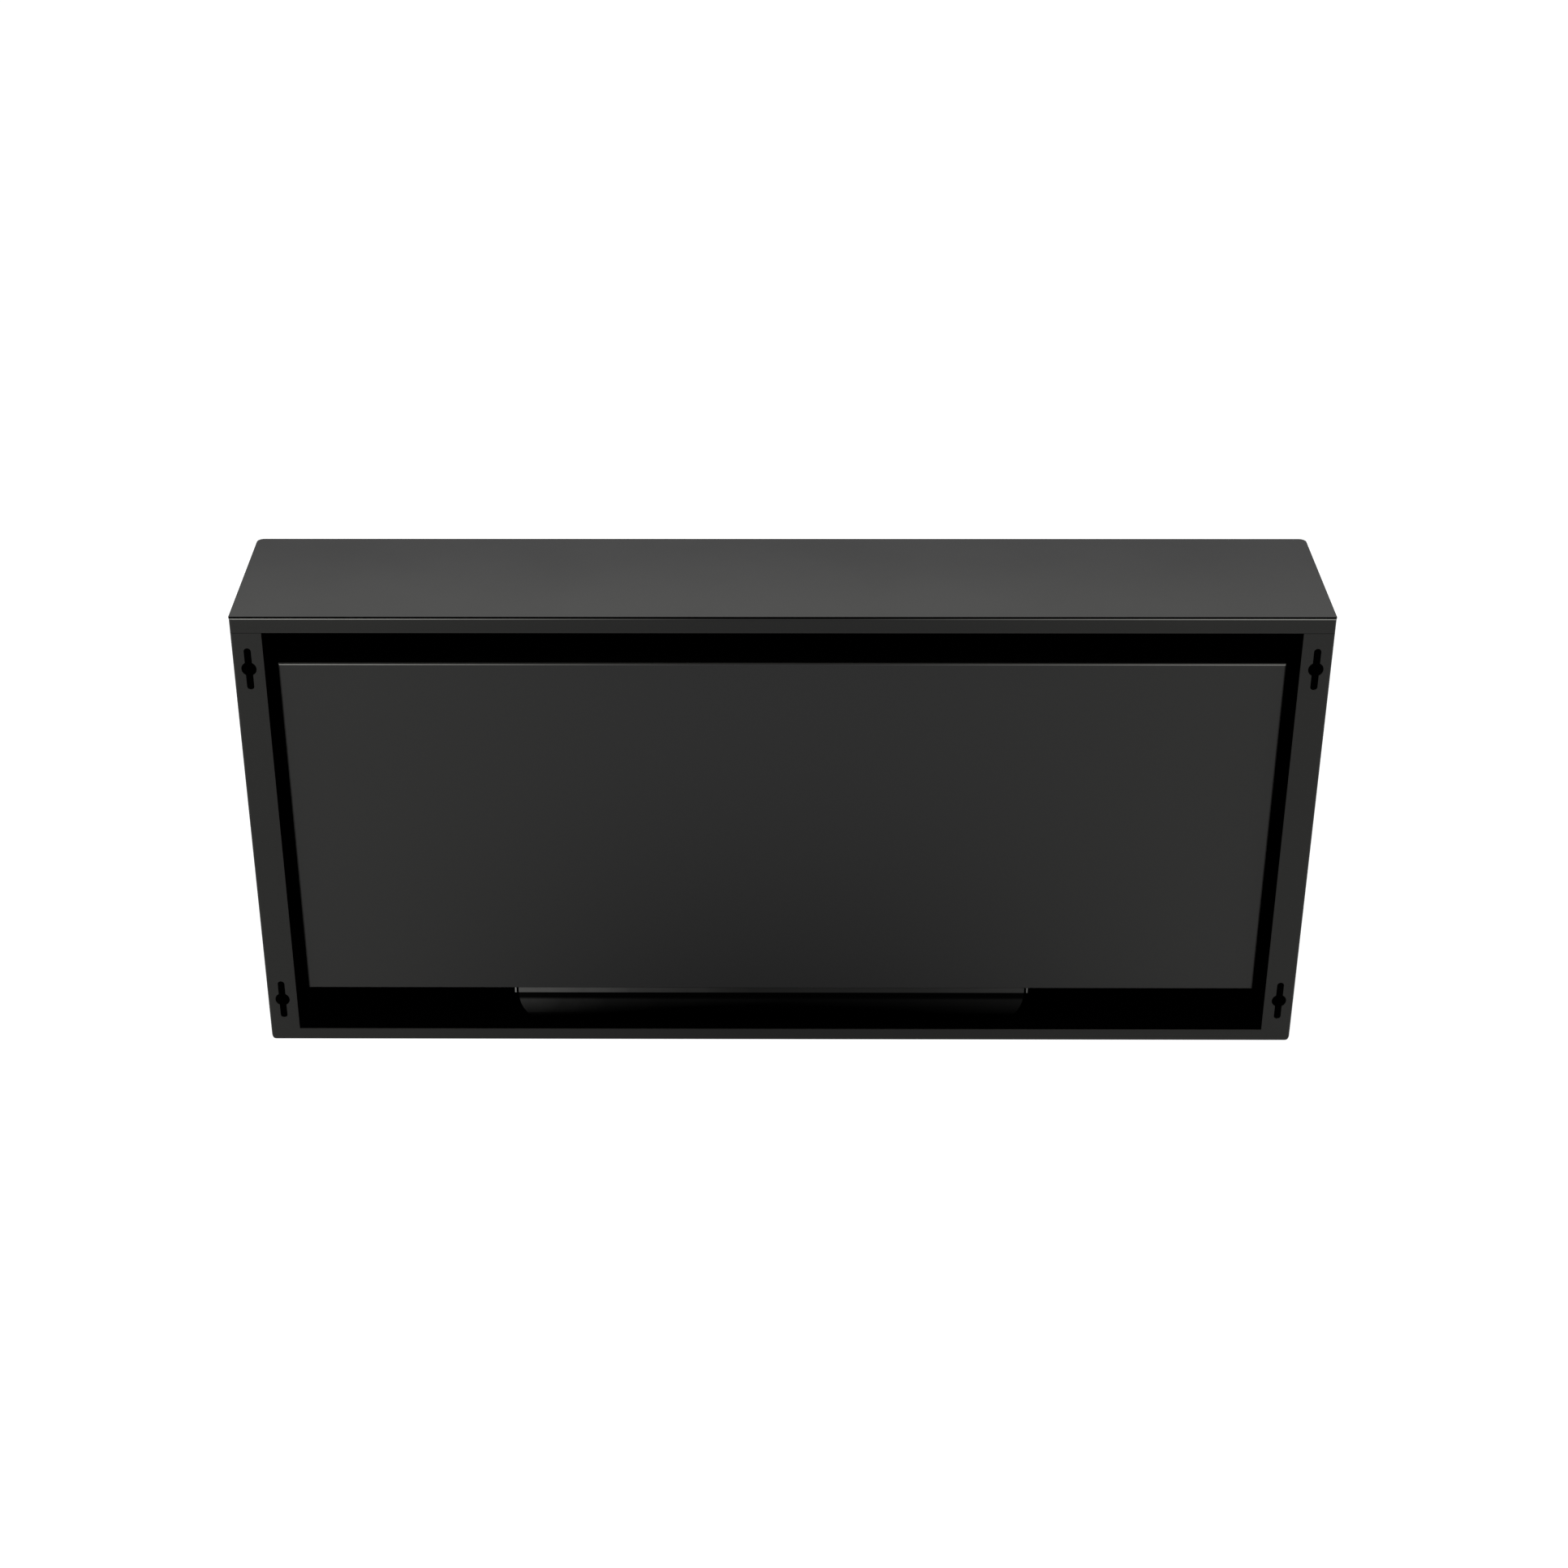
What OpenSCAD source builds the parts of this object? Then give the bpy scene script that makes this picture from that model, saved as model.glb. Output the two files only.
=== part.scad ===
// Wall-hung fireplace: an open-backed sheet-steel casing, an inner firebox held in it with an air
// gap all round, a lift-out liquid-fuel burner with a sliding shutter, and a low glass guard.
// X runs along the width, Y from the front (-) to the wall (+), Z up. The origin is the middle of
// the back plane, which lies on the wall.

/* [Casing] */
// Overall width
casing_w = 900; // [840:10:1200]
// Overall height
casing_h = 416; // [400:2:520]
// Overall depth, from the front face to the wall
casing_d = 153; // [150:1:190]
// Thickness of the casing's sheet
casing_t = 1.5; // [1.2:0.1:2]
// Outside radius of the bends at the front
front_bend_r = 6; // [3:0.5:9]
// Outside radius of the bends along the bottom
bottom_bend_r = 6; // [2.5:0.5:8]
// Outside radius of the bends round the back
rear_bend_r = 2; // [2:0.25:3]

/* [Rear frame] */
// Width of the side flanges that hold the keyholes
side_flange_w = 25.5; // [22:0.5:32]
// Height of the bottom flange
bottom_flange_h = 11.5; // [8:0.5:20]
// Height of the rail across the top of the back
rail_h = 14.5; // [10:0.5:20]
// Depth of the rail's leg, which carries the top panel
rail_leg = 22; // [16:1:30]
// Distance of the top panel's rear edge from the wall
lid_setback = 0.6; // [0.3:0.1:1.5]
// Gap at the seams between the rail and the side flanges, and round the lid's strips
seam = 0.4; // [0.2:0.1:0.8]

/* [Top panel] */
// Height of the strips welded on edge under the panel, which seat it inside the walls
lid_strip_h = 12; // [8:1:20]
// Distance of the strips' ends from the walls' inside
lid_strip_stop = 8; // [7:1:16]

/* [Keyholes] */
// Diameter of the round middle, which passes a screw head
keyhole_head_d = 12.6; // [11:0.2:15]
// Width of the two slots, which take the screw's shank
keyhole_slot_w = 6; // [5:0.2:8]
// Length from end to end of both slots
keyhole_len = 38; // [30:1:48]
// Distance from the casing's top to the upper keyholes' middle
keyhole_drop = 47.5; // [40:0.5:60]
// Height between the upper and lower keyholes' middles
keyhole_spacing = 326; // [280:1:340]

/* [Firebox] */
// Air gap at each side, from the casing's outside to the firebox's
side_gap = 35; // [28:1:50]
// Distance from the casing's top to the firebox's top
top_gap = 48; // [40:1:60]
// Distance from the casing's bottom to the firebox's bottom
bottom_gap = 48; // [44:1:60]
// Air gap between the wall and the firebox's back
back_gap = 10; // [6:1:14]
// Thickness of the firebox's sheet
firebox_t = 1.2; // [1:0.1:1.5]
// Outside radius of the back panel's bends
back_bend_r = 1.8; // [1.6:0.1:3]
// Depth of the back panel's flanges
back_flange = 12; // [8:1:16]
// How far the front opening stands inside the firebox's walls
aperture_lip = 2.6; // [1:0.2:6]
// Radius of the front opening's corners
aperture_r = 2; // [1:0.5:5]
// Height of the flanges that fix the firebox to the front
fixing_flange_h = 18; // [16:1:24]
// Width of the cheeks' folded edges
cheek_fold = 10; // [9:1:14]
// Gap between the ends of those folds and the front and the back
fold_gap = 2.5; // [1:0.5:6]

/* [Burner] */
// Length of the tub
tub_len = 445; // [380:1:600]
// Distance of the burner's middle from the casing's middle
burner_shift = 7.8; // [-10:0.2:10]
// Thickness of the tub's sheet
tub_t = 1.2; // [1:0.1:1.5]
// Outside radius of the tub's rounded ends
tub_end_r = 31; // [15:1:38]
// Outside radius of the tub's lower edges at the front and the back
tub_edge_r = 12; // [6:1:34]
// Gap between the tub and the casing's floor
tub_floor_gap = 6.5; // [4:0.5:12]
// Gap between the tub and the cut-out's front and back
tub_clear = 1.5; // [1:0.1:2]
// Gap between the tub and the cut-out's ends
tub_end_clear = 2; // [1:0.1:3]
// How far the cut-out's collar reaches below the firebox
collar_drop = 5; // [3:0.5:9]
// Thickness of the burner's deck
deck_t = 1.5; // [1:0.1:2.5]
// How far the deck reaches past the collar's inside at the front and the ends
deck_overlap = 8; // [5:0.5:10]
// Gap between the deck and the back panel
deck_back_gap = 0.5; // [0.3:0.1:1]
// Width of the flame slot
slot_w = 38; // [25:1:42]
// Length of deck left over the tub at each end of the slot
slot_end = 43.5; // [40:0.5:80]
// Radius of the slot's corners
slot_r = 5; // [2:0.5:10]
// Width of deck over the tub in front of the slot
slot_front = 22; // [14:1:26]
// Depth of free space between the deck's top and the wool
wool_drop = 10; // [7:0.5:14]

/* [Shutter] */
// Thickness of the shutter
shutter_t = 1.5; // [1:0.1:2.5]
// How far the closed shutter covers the deck round the slot
shutter_overlap = 4; // [3:0.5:6]
// How far each end of the shutter reaches past the slot
shutter_end = 12; // [10:1:18]
// Running clearance of the shutter in its guides
slide_fit = 0.2; // [0.1:0.05:0.4]
// Thickness of the guides' sheet
guide_t = 1.2; // [1:0.1:1.5]
// How far the guides reach over the shutter's ends
guide_lip = 7; // [5:0.5:9]
// Width of the guides' riveted feet
guide_foot = 11; // [10:0.5:14]
// Distance of each rivet's middle from the guide's end
rivet_end = 11; // [6:1:20]
// Diameter of the knob's head
knob_d = 14; // [12:1:20]
// Height of the knob's head
knob_head_h = 4.5; // [3:0.5:7]
// Diameter of the knob's waist, which the pull hook holds
knob_waist_d = 7; // [5:0.5:9]
// Height of the knob's waist
knob_waist_h = 5; // [4:0.5:8]
// Diameter of the knob's foot
knob_foot_d = 11; // [10:0.5:16]
// Height of the knob's foot
knob_foot_h = 1.6; // [1:0.2:3]
// Radius of the edges of the knob's head
knob_edge_r = 1.2; // [0.5:0.1:1.4]

/* [Glass guard] */
// Width of the pane
glass_w = 780; // [700:10:800]
// Height of the pane
glass_h = 140; // [100:5:180]
// Thickness of the pane
glass_t = 4; // [3:0.5:6]
// Radius of the pane's corners
glass_r = 6; // [2:1:12]
// Gap between the front face's sheet and the clips
clip_gap = 2.8; // [1.5:0.1:4]
// Gap between the clips and the burner's deck
clip_deck_gap = 3; // [2:0.5:5]
// Length of each clip
clip_len = 50; // [30:5:80]
// Height of the clips
clip_h = 16; // [12:1:24]
// Thickness of the clips' sheet
clip_t = 1.2; // [1:0.1:1.5]
// Thickness of the liner between clip and glass
liner_t = 0.8; // [0.6:0.1:1.2]
// Clearance of the glass in its liners
glass_fit = 0.2; // [0.1:0.05:0.4]
// Distance of each clip's middle from the pane's end
clip_inset = 130; // [60:5:200]

/* [Fasteners] */
// Diameter of the threads of studs and screws
thread_d = 4; // [3:0.5:5]
// Clearance of the holes that studs and screws pass through
hole_clear = 0.4; // [0.2:0.1:0.8]
// Length of the studs welded inside the front face
stud_len = 12; // [10:1:16]
// Distance of the outer studs from the firebox's sides
stud_end = 35; // [20:5:60]
// Number of studs along the top, and along the bottom
stud_count = 5; // [3:1:7]
// Width across the flats of the nuts
nut_af = 7; // [5.5:0.5:8]
// Height of the nuts, with their flanges
nut_h = 4.6; // [3:0.2:6]
// Diameter of the nuts' flanges
nut_flange_d = 9.4; // [9.2:0.1:11]
// Thickness of the nuts' flanges
nut_flange_h = 1.2; // [0.8:0.1:1.6]
// Diameter of the heads of screws and rivets
head_d = 7; // [6:0.5:8]
// Height of the heads of screws and rivets
head_h = 2.2; // [1.6:0.1:3]
// Length of the cheeks' screws under the head
screw_len = 5; // [3:0.5:8]
// Number of screws along each fold of a cheek
cheek_screws_n = 3; // [2:1:4]
// Distance of the cheeks' outer screws from the ends of the fold
screw_end = 15; // [10:1:30]

/* [Hidden] */
$fn = 48;
// Overlap of a cutting shape past the face that it cuts
cut = 1;

// Casing
half_w = casing_w / 2;
half_h = casing_h / 2;
front_in = -casing_d + casing_t;
wall_in = half_w - casing_t;
wall_top = half_h - casing_t;
floor_in = -half_h + casing_t;
lid_fit = seam / 2;
lid_strip_x = wall_in - lid_fit;
lid_strip_bottom = wall_top - lid_strip_h;
rear_open_x = half_w - side_flange_w;
rear_open_top = half_h - rail_h;
keyhole_x = half_w - side_flange_w / 2;
keyhole_top_z = half_h - keyhole_drop;

// Firebox
box_x = half_w - side_gap;
box_top = half_h - top_gap;
box_bottom = -half_h + bottom_gap;
back_out = -back_gap;
back_in = back_out - firebox_t;
sheet_rear = back_out - back_bend_r;
liner_x = box_x - firebox_t;
cheek_in = liner_x - firebox_t;
ceiling_top = box_top - firebox_t;
ceiling_z = ceiling_top - firebox_t;
floor_bottom = box_bottom + firebox_t;
floor_z = floor_bottom + firebox_t;
aperture_x = cheek_in - aperture_lip;
aperture_top = ceiling_z - aperture_lip;
aperture_bottom = floor_z + aperture_lip;

// Glass guard and its clips
clip_in_w = glass_t + 2 * (glass_fit + liner_t);
clip_w = clip_in_w + 2 * clip_t;
clip_y = front_in + clip_gap + clip_w / 2;
clip_rear = clip_y + clip_w / 2;
clip_x = glass_w / 2 - clip_inset;
liner_z = floor_z + clip_t;
glass_z = liner_z + liner_t;

// Burner
deck_front = clip_rear + clip_deck_gap;
deck_rear = back_in - deck_back_gap;
deck_half = tub_len / 2 + tub_end_clear + deck_overlap;
cutout_front = deck_front + deck_overlap;
cutout_rear = back_in - firebox_t;
cutout_half = tub_len / 2 + tub_end_clear;
collar_bottom = box_bottom - collar_drop;
tub_half = tub_len / 2;
tub_front = cutout_front + tub_clear;
tub_rear = cutout_rear - tub_clear;
tub_bottom = floor_in + tub_floor_gap;
deck_top = floor_z + deck_t;
slot_half = tub_half - slot_end;
slot_y0 = tub_front + slot_front;
slot_y1 = slot_y0 + slot_w;
wool_top = deck_top - wool_drop;

// Shutter
shutter_z = deck_top + slide_fit;
shutter_top = shutter_z + shutter_t;
shutter_half = slot_half + shutter_end;
shutter_y0 = slot_y0 - shutter_overlap;
shutter_y1 = slot_y1 + shutter_overlap;
shutter_travel = slot_w + shutter_overlap;
knob_y = (shutter_y0 + shutter_y1) / 2;
guide_in = shutter_half + slide_fit;
guide_z = shutter_top + slide_fit;
guide_y0 = shutter_y0 - slide_fit;
guide_y1 = shutter_y1 + shutter_travel + slide_fit;
rivet_x = guide_in + guide_t + (guide_foot - guide_t) / 2;
rivet_places = [for (side = [-1, 1], y = [guide_y0 + rivet_end, guide_y1 - rivet_end])
    [side * rivet_x, y]];

// Fasteners
hole_d = thread_d + hole_clear;
stud_z = fixing_flange_h / 2 + firebox_t;
stud_xs = [for (i = [0 : stud_count - 1])
    -box_x + stud_end + i * 2 * (box_x - stud_end) / (stud_count - 1)];
fold_x = cheek_in - cheek_fold / 2;
fold_y0 = front_in + fold_gap;
fold_y1 = back_in - fold_gap;
screw_ys = [for (i = [0 : cheek_screws_n - 1])
    fold_y0 + screw_end + i * (fold_y1 - fold_y0 - 2 * screw_end) / (cheek_screws_n - 1)];

// ---- Shared shapes ----

// A box between two opposite corners.
module block(low, high) {
    translate(low) cube(high - low);
}

// What a rounded corner takes off: the square corner at the origin, outside an arc of radius r.
module corner_waste(r) {
    difference() {
        translate([-cut, -cut]) square(r + cut);
        translate([r, r]) circle(r);
    }
}

// A rectangle between two corners. radii: lower left, lower right, upper right, upper left.
module rounded_rect(low, high, radii) {
    corners = [low, [high[0], low[1]], high, [low[0], high[1]]];
    difference() {
        translate(low) square(high - low);
        for (i = [0 : 3])
            if (radii[i] > 0) translate(corners[i]) rotate(90 * i) corner_waste(radii[i]);
    }
}

// Stands a drawing of the rear view (X, Z) up, from y0 to y1.
module along_y(y0, y1) {
    translate([0, y1, 0]) rotate([90, 0, 0]) linear_extrude(y1 - y0) children();
}

// Stands a drawing of the side view (Y, Z) up, from x0 to x1.
module along_x(x0, x1) {
    translate([x0, 0, 0]) rotate([90, 0, 90]) linear_extrude(x1 - x0) children();
}

// Draws a plan (X, Y) from z0 up to z1.
module along_z(z0, z1) {
    translate([0, 0, z0]) linear_extrude(z1 - z0) children();
}

// Moves a piece of the burner to the burner's middle.
module at_burner() {
    translate([burner_shift, 0, 0]) children();
}

// A hexagon by its width across the flats.
module hexagon(af) {
    circle(d = af / cos(30), $fn = 6);
}

// A fastener along Z: a domed head above its seat at the origin, and a shank below it.
// The dome's radius is the head's diameter.
module domed_fastener(shank) {
    rotate_extrude() {
        translate([0, -shank]) square([thread_d / 2, shank]);
        intersection() {
            square([head_d / 2, head_h]);
            translate([0, head_h - head_d]) circle(head_d);
        }
    }
}

// A clearance hole through a sheet that lies between two heights.
module hole(z0, z1) {
    translate([0, 0, z0 - cut]) cylinder(h = z1 - z0 + 2 * cut, d = hole_d);
}

// ---- Casing ----

// The casing's solid body, taken in on every side by a sheet of thickness t.
module casing_body(t) {
    x = half_w - t;
    y0 = -casing_d + t;
    z0 = -half_h + t;
    front_r = front_bend_r - t;
    bottom_r = bottom_bend_r - t;
    rear_r = rear_bend_r - t;
    intersection() {
        along_z(z0, half_h)
            rounded_rect([-x, y0], [x, -t], [front_r, front_r, rear_r, rear_r]);
        along_y(y0, -t) rounded_rect([-x, z0], [x, half_h], [bottom_r, bottom_r, 0, 0]);
        along_x(-x, x) rounded_rect([y0, z0], [-t, half_h], [front_r, rear_r, 0, 0]);
    }
}

// A round hole with a slot above it and one below, so that the casing hangs either way up.
module keyhole() {
    slot_reach = (keyhole_len - keyhole_slot_w) / 2;
    circle(d = keyhole_head_d);
    square([keyhole_slot_w, 2 * slot_reach], center = true);
    for (side = [-1, 1]) translate([0, side * slot_reach]) circle(d = keyhole_slot_w);
}

// Front face, side walls and floor, folded and welded from one sheet, with flanges round the back.
module casing_shell() {
    color("#2b2b2a") difference() {
        casing_body(0);
        casing_body(casing_t);
        // open top, under the top panel
        block([-half_w - cut, -casing_d - cut, wall_top], [half_w + cut, cut, half_h + cut]);
        // room for the rail
        block([-half_w - cut, -casing_t, rear_open_top - seam], [half_w + cut, cut, half_h]);
        // open back, between the flanges
        block([-rear_open_x, -casing_t - cut, -half_h + bottom_flange_h],
            [rear_open_x, cut, half_h]);
        // front opening
        along_y(-casing_d - cut, front_in + cut)
            rounded_rect([-aperture_x, aperture_bottom], [aperture_x, aperture_top],
                [aperture_r, aperture_r, aperture_r, aperture_r]);
        for (side = [-1, 1], z = [keyhole_top_z, keyhole_top_z - keyhole_spacing])
            along_y(-casing_t - cut, cut) translate([side * keyhole_x, z]) keyhole();
    }
}

// The flat lid of the casing.
module top_panel() {
    color("#2b2b2a") along_z(wall_top, half_h)
        rounded_rect([-half_w, -casing_d], [half_w, -lid_setback],
            [front_bend_r, front_bend_r, 0, 0]);
}

// The strips under the lid, just inside the walls.
module lid_strip_right() {
    color("#2b2b2a")
        block([lid_strip_x - casing_t, front_in + lid_strip_stop, lid_strip_bottom],
            [lid_strip_x, -rail_leg - lid_fit, wall_top]);
}

module lid_strip_left() {
    mirror([1, 0, 0]) lid_strip_right();
}

module lid_strip_front() {
    y = front_in + lid_fit;
    color("#2b2b2a")
        block([-lid_strip_x + lid_strip_stop, y, lid_strip_bottom],
            [lid_strip_x - lid_strip_stop, y + casing_t, wall_top]);
}

// The rail across the top of the back: a flange, and a leg that lies under the top panel.
module rear_top_rail() {
    r = rear_bend_r;
    leg_x = wall_in - r;
    color("#2b2b2a") difference() {
        intersection() {
            union() {
                block([-half_w, -casing_t, rear_open_top], [half_w, 0, wall_top]);
                block([-leg_x, -rail_leg, wall_top - casing_t], [leg_x, 0, wall_top]);
            }
            along_z(rear_open_top, wall_top)
                rounded_rect([-half_w, -rail_leg], [half_w, 0], [0, 0, r, r]);
        }
        along_x(-half_w - cut, half_w + cut)
            translate([0, wall_top]) rotate(180) corner_waste(r);
    }
}

// ---- Firebox ----

// The back panel, folded forward round the ceiling and cheeks, and under the floor.
module firebox_back() {
    t = firebox_t;
    r = back_bend_r;
    front = back_out - back_flange;
    notch = cutout_half + deck_overlap;
    color("#2e2e2d") difference() {
        intersection() {
            along_z(box_bottom, box_top)
                rounded_rect([-box_x, front], [box_x, back_out], [0, 0, r, r]);
            along_x(-box_x, box_x)
                rounded_rect([front, box_bottom], [back_out, box_top], [0, r, r, 0]);
        }
        intersection() {
            along_z(box_bottom + t, box_top - t)
                rounded_rect([-liner_x, front - cut], [liner_x, back_in], [0, 0, r - t, r - t]);
            along_x(-liner_x, liner_x)
                rounded_rect([front - cut, floor_bottom], [back_in, ceiling_top],
                    [0, r - t, r - t, 0]);
        }
        // no fold over the burner, where the floor's tab stands
        at_burner()
            block([-notch, front - cut, box_bottom - cut], [notch, back_in, floor_bottom + cut]);
    }
}

// A sheet lying on the firebox's outline, with its front edge turned away from the fire. It stops
// where the back panel's bend begins.
module lying_sheet(z, flange_z) {
    block([-liner_x, front_in, z], [liner_x, sheet_rear, z + firebox_t]);
    block([-liner_x, front_in, min(z, flange_z)],
        [liner_x, front_in + firebox_t, max(z + firebox_t, flange_z)]);
}

// Holes for the cheeks' screws, through the floor and ceiling and the folds on them.
module screw_holes() {
    for (side = [-1, 1], y = screw_ys) translate([side * fold_x, y, 0]) {
        hole(floor_bottom, floor_z + firebox_t);
        hole(ceiling_z - firebox_t, ceiling_top);
    }
}

// Puts a piece on the front face's inside wherever a stud stands, with Z pointing to the back.
module at_studs() {
    for (x = stud_xs, z = [ceiling_z + stud_z, floor_z - stud_z])
        translate([x, front_in, z]) rotate([-90, 0, 0]) children();
}

module stud_holes() {
    at_studs() hole(0, firebox_t);
}

// The ceiling, fixed to the front face by its turned-up flange.
module firebox_ceiling() {
    color("#2e2e2d") difference() {
        lying_sheet(ceiling_z, ceiling_z + fixing_flange_h);
        stud_holes();
        screw_holes();
    }
}

// The floor, with the burner's cut-out, which is open to the back.
module firebox_floor() {
    color("#2e2e2d") difference() {
        lying_sheet(floor_bottom, floor_z - fixing_flange_h);
        collar_form(firebox_t, floor_bottom - cut, floor_z + cut);
        stud_holes();
        screw_holes();
    }
}

// The upright form of the cut-out, enlarged by t at the front and the ends.
module collar_form(t, z0, z1) {
    at_burner() block([-cutout_half - t, cutout_front - t, z0], [cutout_half + t, back_in + cut, z1]);
}

// A strip folded to a U and welded inside the cut-out, at the front and the ends.
module burner_collar() {
    color("#5f5f60") difference() {
        collar_form(firebox_t, collar_bottom, floor_z);
        collar_form(0, collar_bottom - cut, floor_z + cut);
        block([-half_w, back_in, collar_bottom - cut], [half_w, cut, floor_z + cut]);
    }
}

// A straight strip welded on the back panel, shorter than the cut-out by a gap at each end.
module collar_rear_strip() {
    color("#5f5f60") at_burner()
        block([-tub_half, cutout_rear, collar_bottom], [tub_half, back_in, floor_z]);
}

// A side wall of the firebox at +X, folded over the floor and under the ceiling.
module cheek() {
    t = firebox_t;
    color("#2e2e2d") difference() {
        union() {
            block([cheek_in, front_in, floor_z], [liner_x, sheet_rear, ceiling_z]);
            for (z = [floor_z, ceiling_z - t])
                block([cheek_in - cheek_fold, fold_y0, z], [liner_x, fold_y1, z + t]);
        }
        screw_holes();
    }
}

module firebox_left_cheek() {
    mirror([1, 0, 0]) cheek();
}

module firebox_right_cheek() {
    cheek();
}

// ---- Fasteners ----

// Threaded studs welded to the inside of the front face.
module weld_studs() {
    color("silver") at_studs() cylinder(h = stud_len, d = thread_d);
}

// Flanged nuts that clamp the firebox to the front face.
module flange_nuts() {
    color("silver") at_studs() translate([0, 0, firebox_t]) difference() {
        union() {
            cylinder(h = nut_flange_h, d = nut_flange_d);
            linear_extrude(nut_h) hexagon(nut_af);
        }
        translate([0, 0, -cut]) cylinder(h = nut_h + 2 * cut, d = thread_d);
    }
}

// Screws through the cheeks' folds into the ceiling and the floor.
module cheek_screws() {
    color("#2e2e2d") for (side = [-1, 1], y = screw_ys) {
        translate([side * fold_x, y, floor_z + firebox_t]) domed_fastener(screw_len);
        translate([side * fold_x, y, ceiling_z - firebox_t])
            rotate([180, 0, 0]) domed_fastener(screw_len);
    }
}

// ---- Burner ----

// The pressed tub's solid form, taken in by t: straight walls above, wide bends below.
module tub_body(t) {
    x = tub_half - t;
    z0 = tub_bottom + t;
    end_r = tub_end_r - t;
    edge_r = tub_edge_r - t;
    intersection() {
        along_y(tub_front + t, tub_rear - t)
            rounded_rect([-x, z0], [x, floor_z + cut], [end_r, end_r, 0, 0]);
        along_x(-x, x)
            rounded_rect([tub_front + t, z0], [tub_rear - t, floor_z + cut],
                [edge_r, edge_r, 0, 0]);
    }
}

// Everything above a height, as a cutting shape.
module above(z) {
    block([-casing_w, -casing_w, z], [casing_w, casing_w, z + casing_w]);
}

// The fuel tub under the deck.
module burner_tub() {
    color("#3a3a3a") at_burner() difference() {
        tub_body(0);
        tub_body(tub_t);
        above(floor_z);
    }
}

// The deck that closes the tub and rests on the firebox's floor, with the flame slot.
module burner_deck() {
    color("#9a9b9c") at_burner() difference() {
        block([-deck_half, deck_front, floor_z], [deck_half, deck_rear, deck_top]);
        along_z(floor_z - cut, deck_top + cut)
            rounded_rect([-slot_half, slot_y0], [slot_half, slot_y1],
                [slot_r, slot_r, slot_r, slot_r]);
        for (p = rivet_places) translate(p) hole(floor_z, deck_top);
    }
}

// Ceramic wool that fills the tub and feeds the flame.
module ceramic_wool() {
    color("white") at_burner() difference() {
        tub_body(tub_t);
        above(wool_top);
    }
}

// The guide at +X: a foot, a riser and a lip over the shutter's end, with a stop at each end.
module shutter_guide() {
    t = guide_t;
    lip_in = shutter_half - guide_lip;
    color("#9a9b9c") at_burner() difference() {
        union() {
            along_y(guide_y0 - t, guide_y1 + t) {
                translate([guide_in, deck_top]) square([guide_foot, t]);
                translate([guide_in, deck_top]) square([t, guide_z + t - deck_top]);
                translate([lip_in, guide_z]) square([guide_in + t - lip_in, t]);
            }
            for (y = [guide_y0 - t, guide_y1])
                block([lip_in, y, deck_top], [guide_in + t, y + t, guide_z + t]);
        }
        for (p = rivet_places) translate(p) hole(deck_top, deck_top + t);
    }
}

module shutter_guide_left() {
    translate([2 * burner_shift, 0, 0]) mirror([1, 0, 0]) shutter_guide();
}

module shutter_guide_right() {
    shutter_guide();
}

// Rivets through the guides' feet into the deck.
module guide_rivets() {
    color("#9a9b9c") at_burner() for (p = rivet_places)
        translate([p[0], p[1], deck_top + guide_t]) domed_fastener(guide_t + deck_t);
}

// ---- Shutter ----

// The plate that slides back off the slot.
module burner_shutter() {
    color("#b4b5b6") at_burner() difference() {
        block([-shutter_half, shutter_y0, shutter_z], [shutter_half, shutter_y1, shutter_top]);
        translate([0, knob_y, shutter_z - cut])
            cylinder(h = shutter_t + 2 * cut, d = thread_d);
    }
}

// A turned knob with a waist for the pull hook, and a spigot riveted into the shutter.
module shutter_knob() {
    waist_z = knob_foot_h;
    head_z = waist_z + knob_waist_h;
    color("#b4b5b6") at_burner() translate([0, knob_y, shutter_top]) rotate_extrude() {
        translate([0, -shutter_t]) square([thread_d / 2, shutter_t]);
        square([knob_foot_d / 2, knob_foot_h]);
        translate([0, waist_z]) square([knob_waist_d / 2, knob_waist_h]);
        rounded_rect([0, head_z], [knob_d / 2, head_z + knob_head_h],
            [0, knob_edge_r, knob_edge_r, 0]);
    }
}

// ---- Glass guard ----

// The pane that stands in the clips.
module glass_guard() {
    color([0.8, 0.9, 0.9, 0.4]) along_y(clip_y - glass_t / 2, clip_y + glass_t / 2)
        rounded_rect([-glass_w / 2, glass_z], [glass_w / 2, glass_z + glass_h],
            [glass_r, glass_r, glass_r, glass_r]);
}

// A channel of thickness t and outside width w, open at the top, standing at height z.
module channel(w, t, z, top) {
    along_x(-clip_len / 2, clip_len / 2) difference() {
        translate([clip_y - w / 2, z]) square([w, top - z]);
        translate([clip_y - w / 2 + t, z + t]) square([w - 2 * t, top - z]);
    }
}

// A clip spot-welded to the firebox's floor.
module glass_clip() {
    color("#2e2e2d") channel(clip_w, clip_t, floor_z, floor_z + clip_h);
}

// The heat-proof strip that keeps the glass off its clip.
module clip_liner() {
    color("#77726a") channel(clip_in_w, liner_t, liner_z, floor_z + clip_h);
}

module glass_clip_left() {
    translate([-clip_x, 0, 0]) glass_clip();
}

module glass_clip_right() {
    translate([clip_x, 0, 0]) glass_clip();
}

module clip_liner_left() {
    translate([-clip_x, 0, 0]) clip_liner();
}

module clip_liner_right() {
    translate([clip_x, 0, 0]) clip_liner();
}

// ---- Nodes ----

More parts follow.
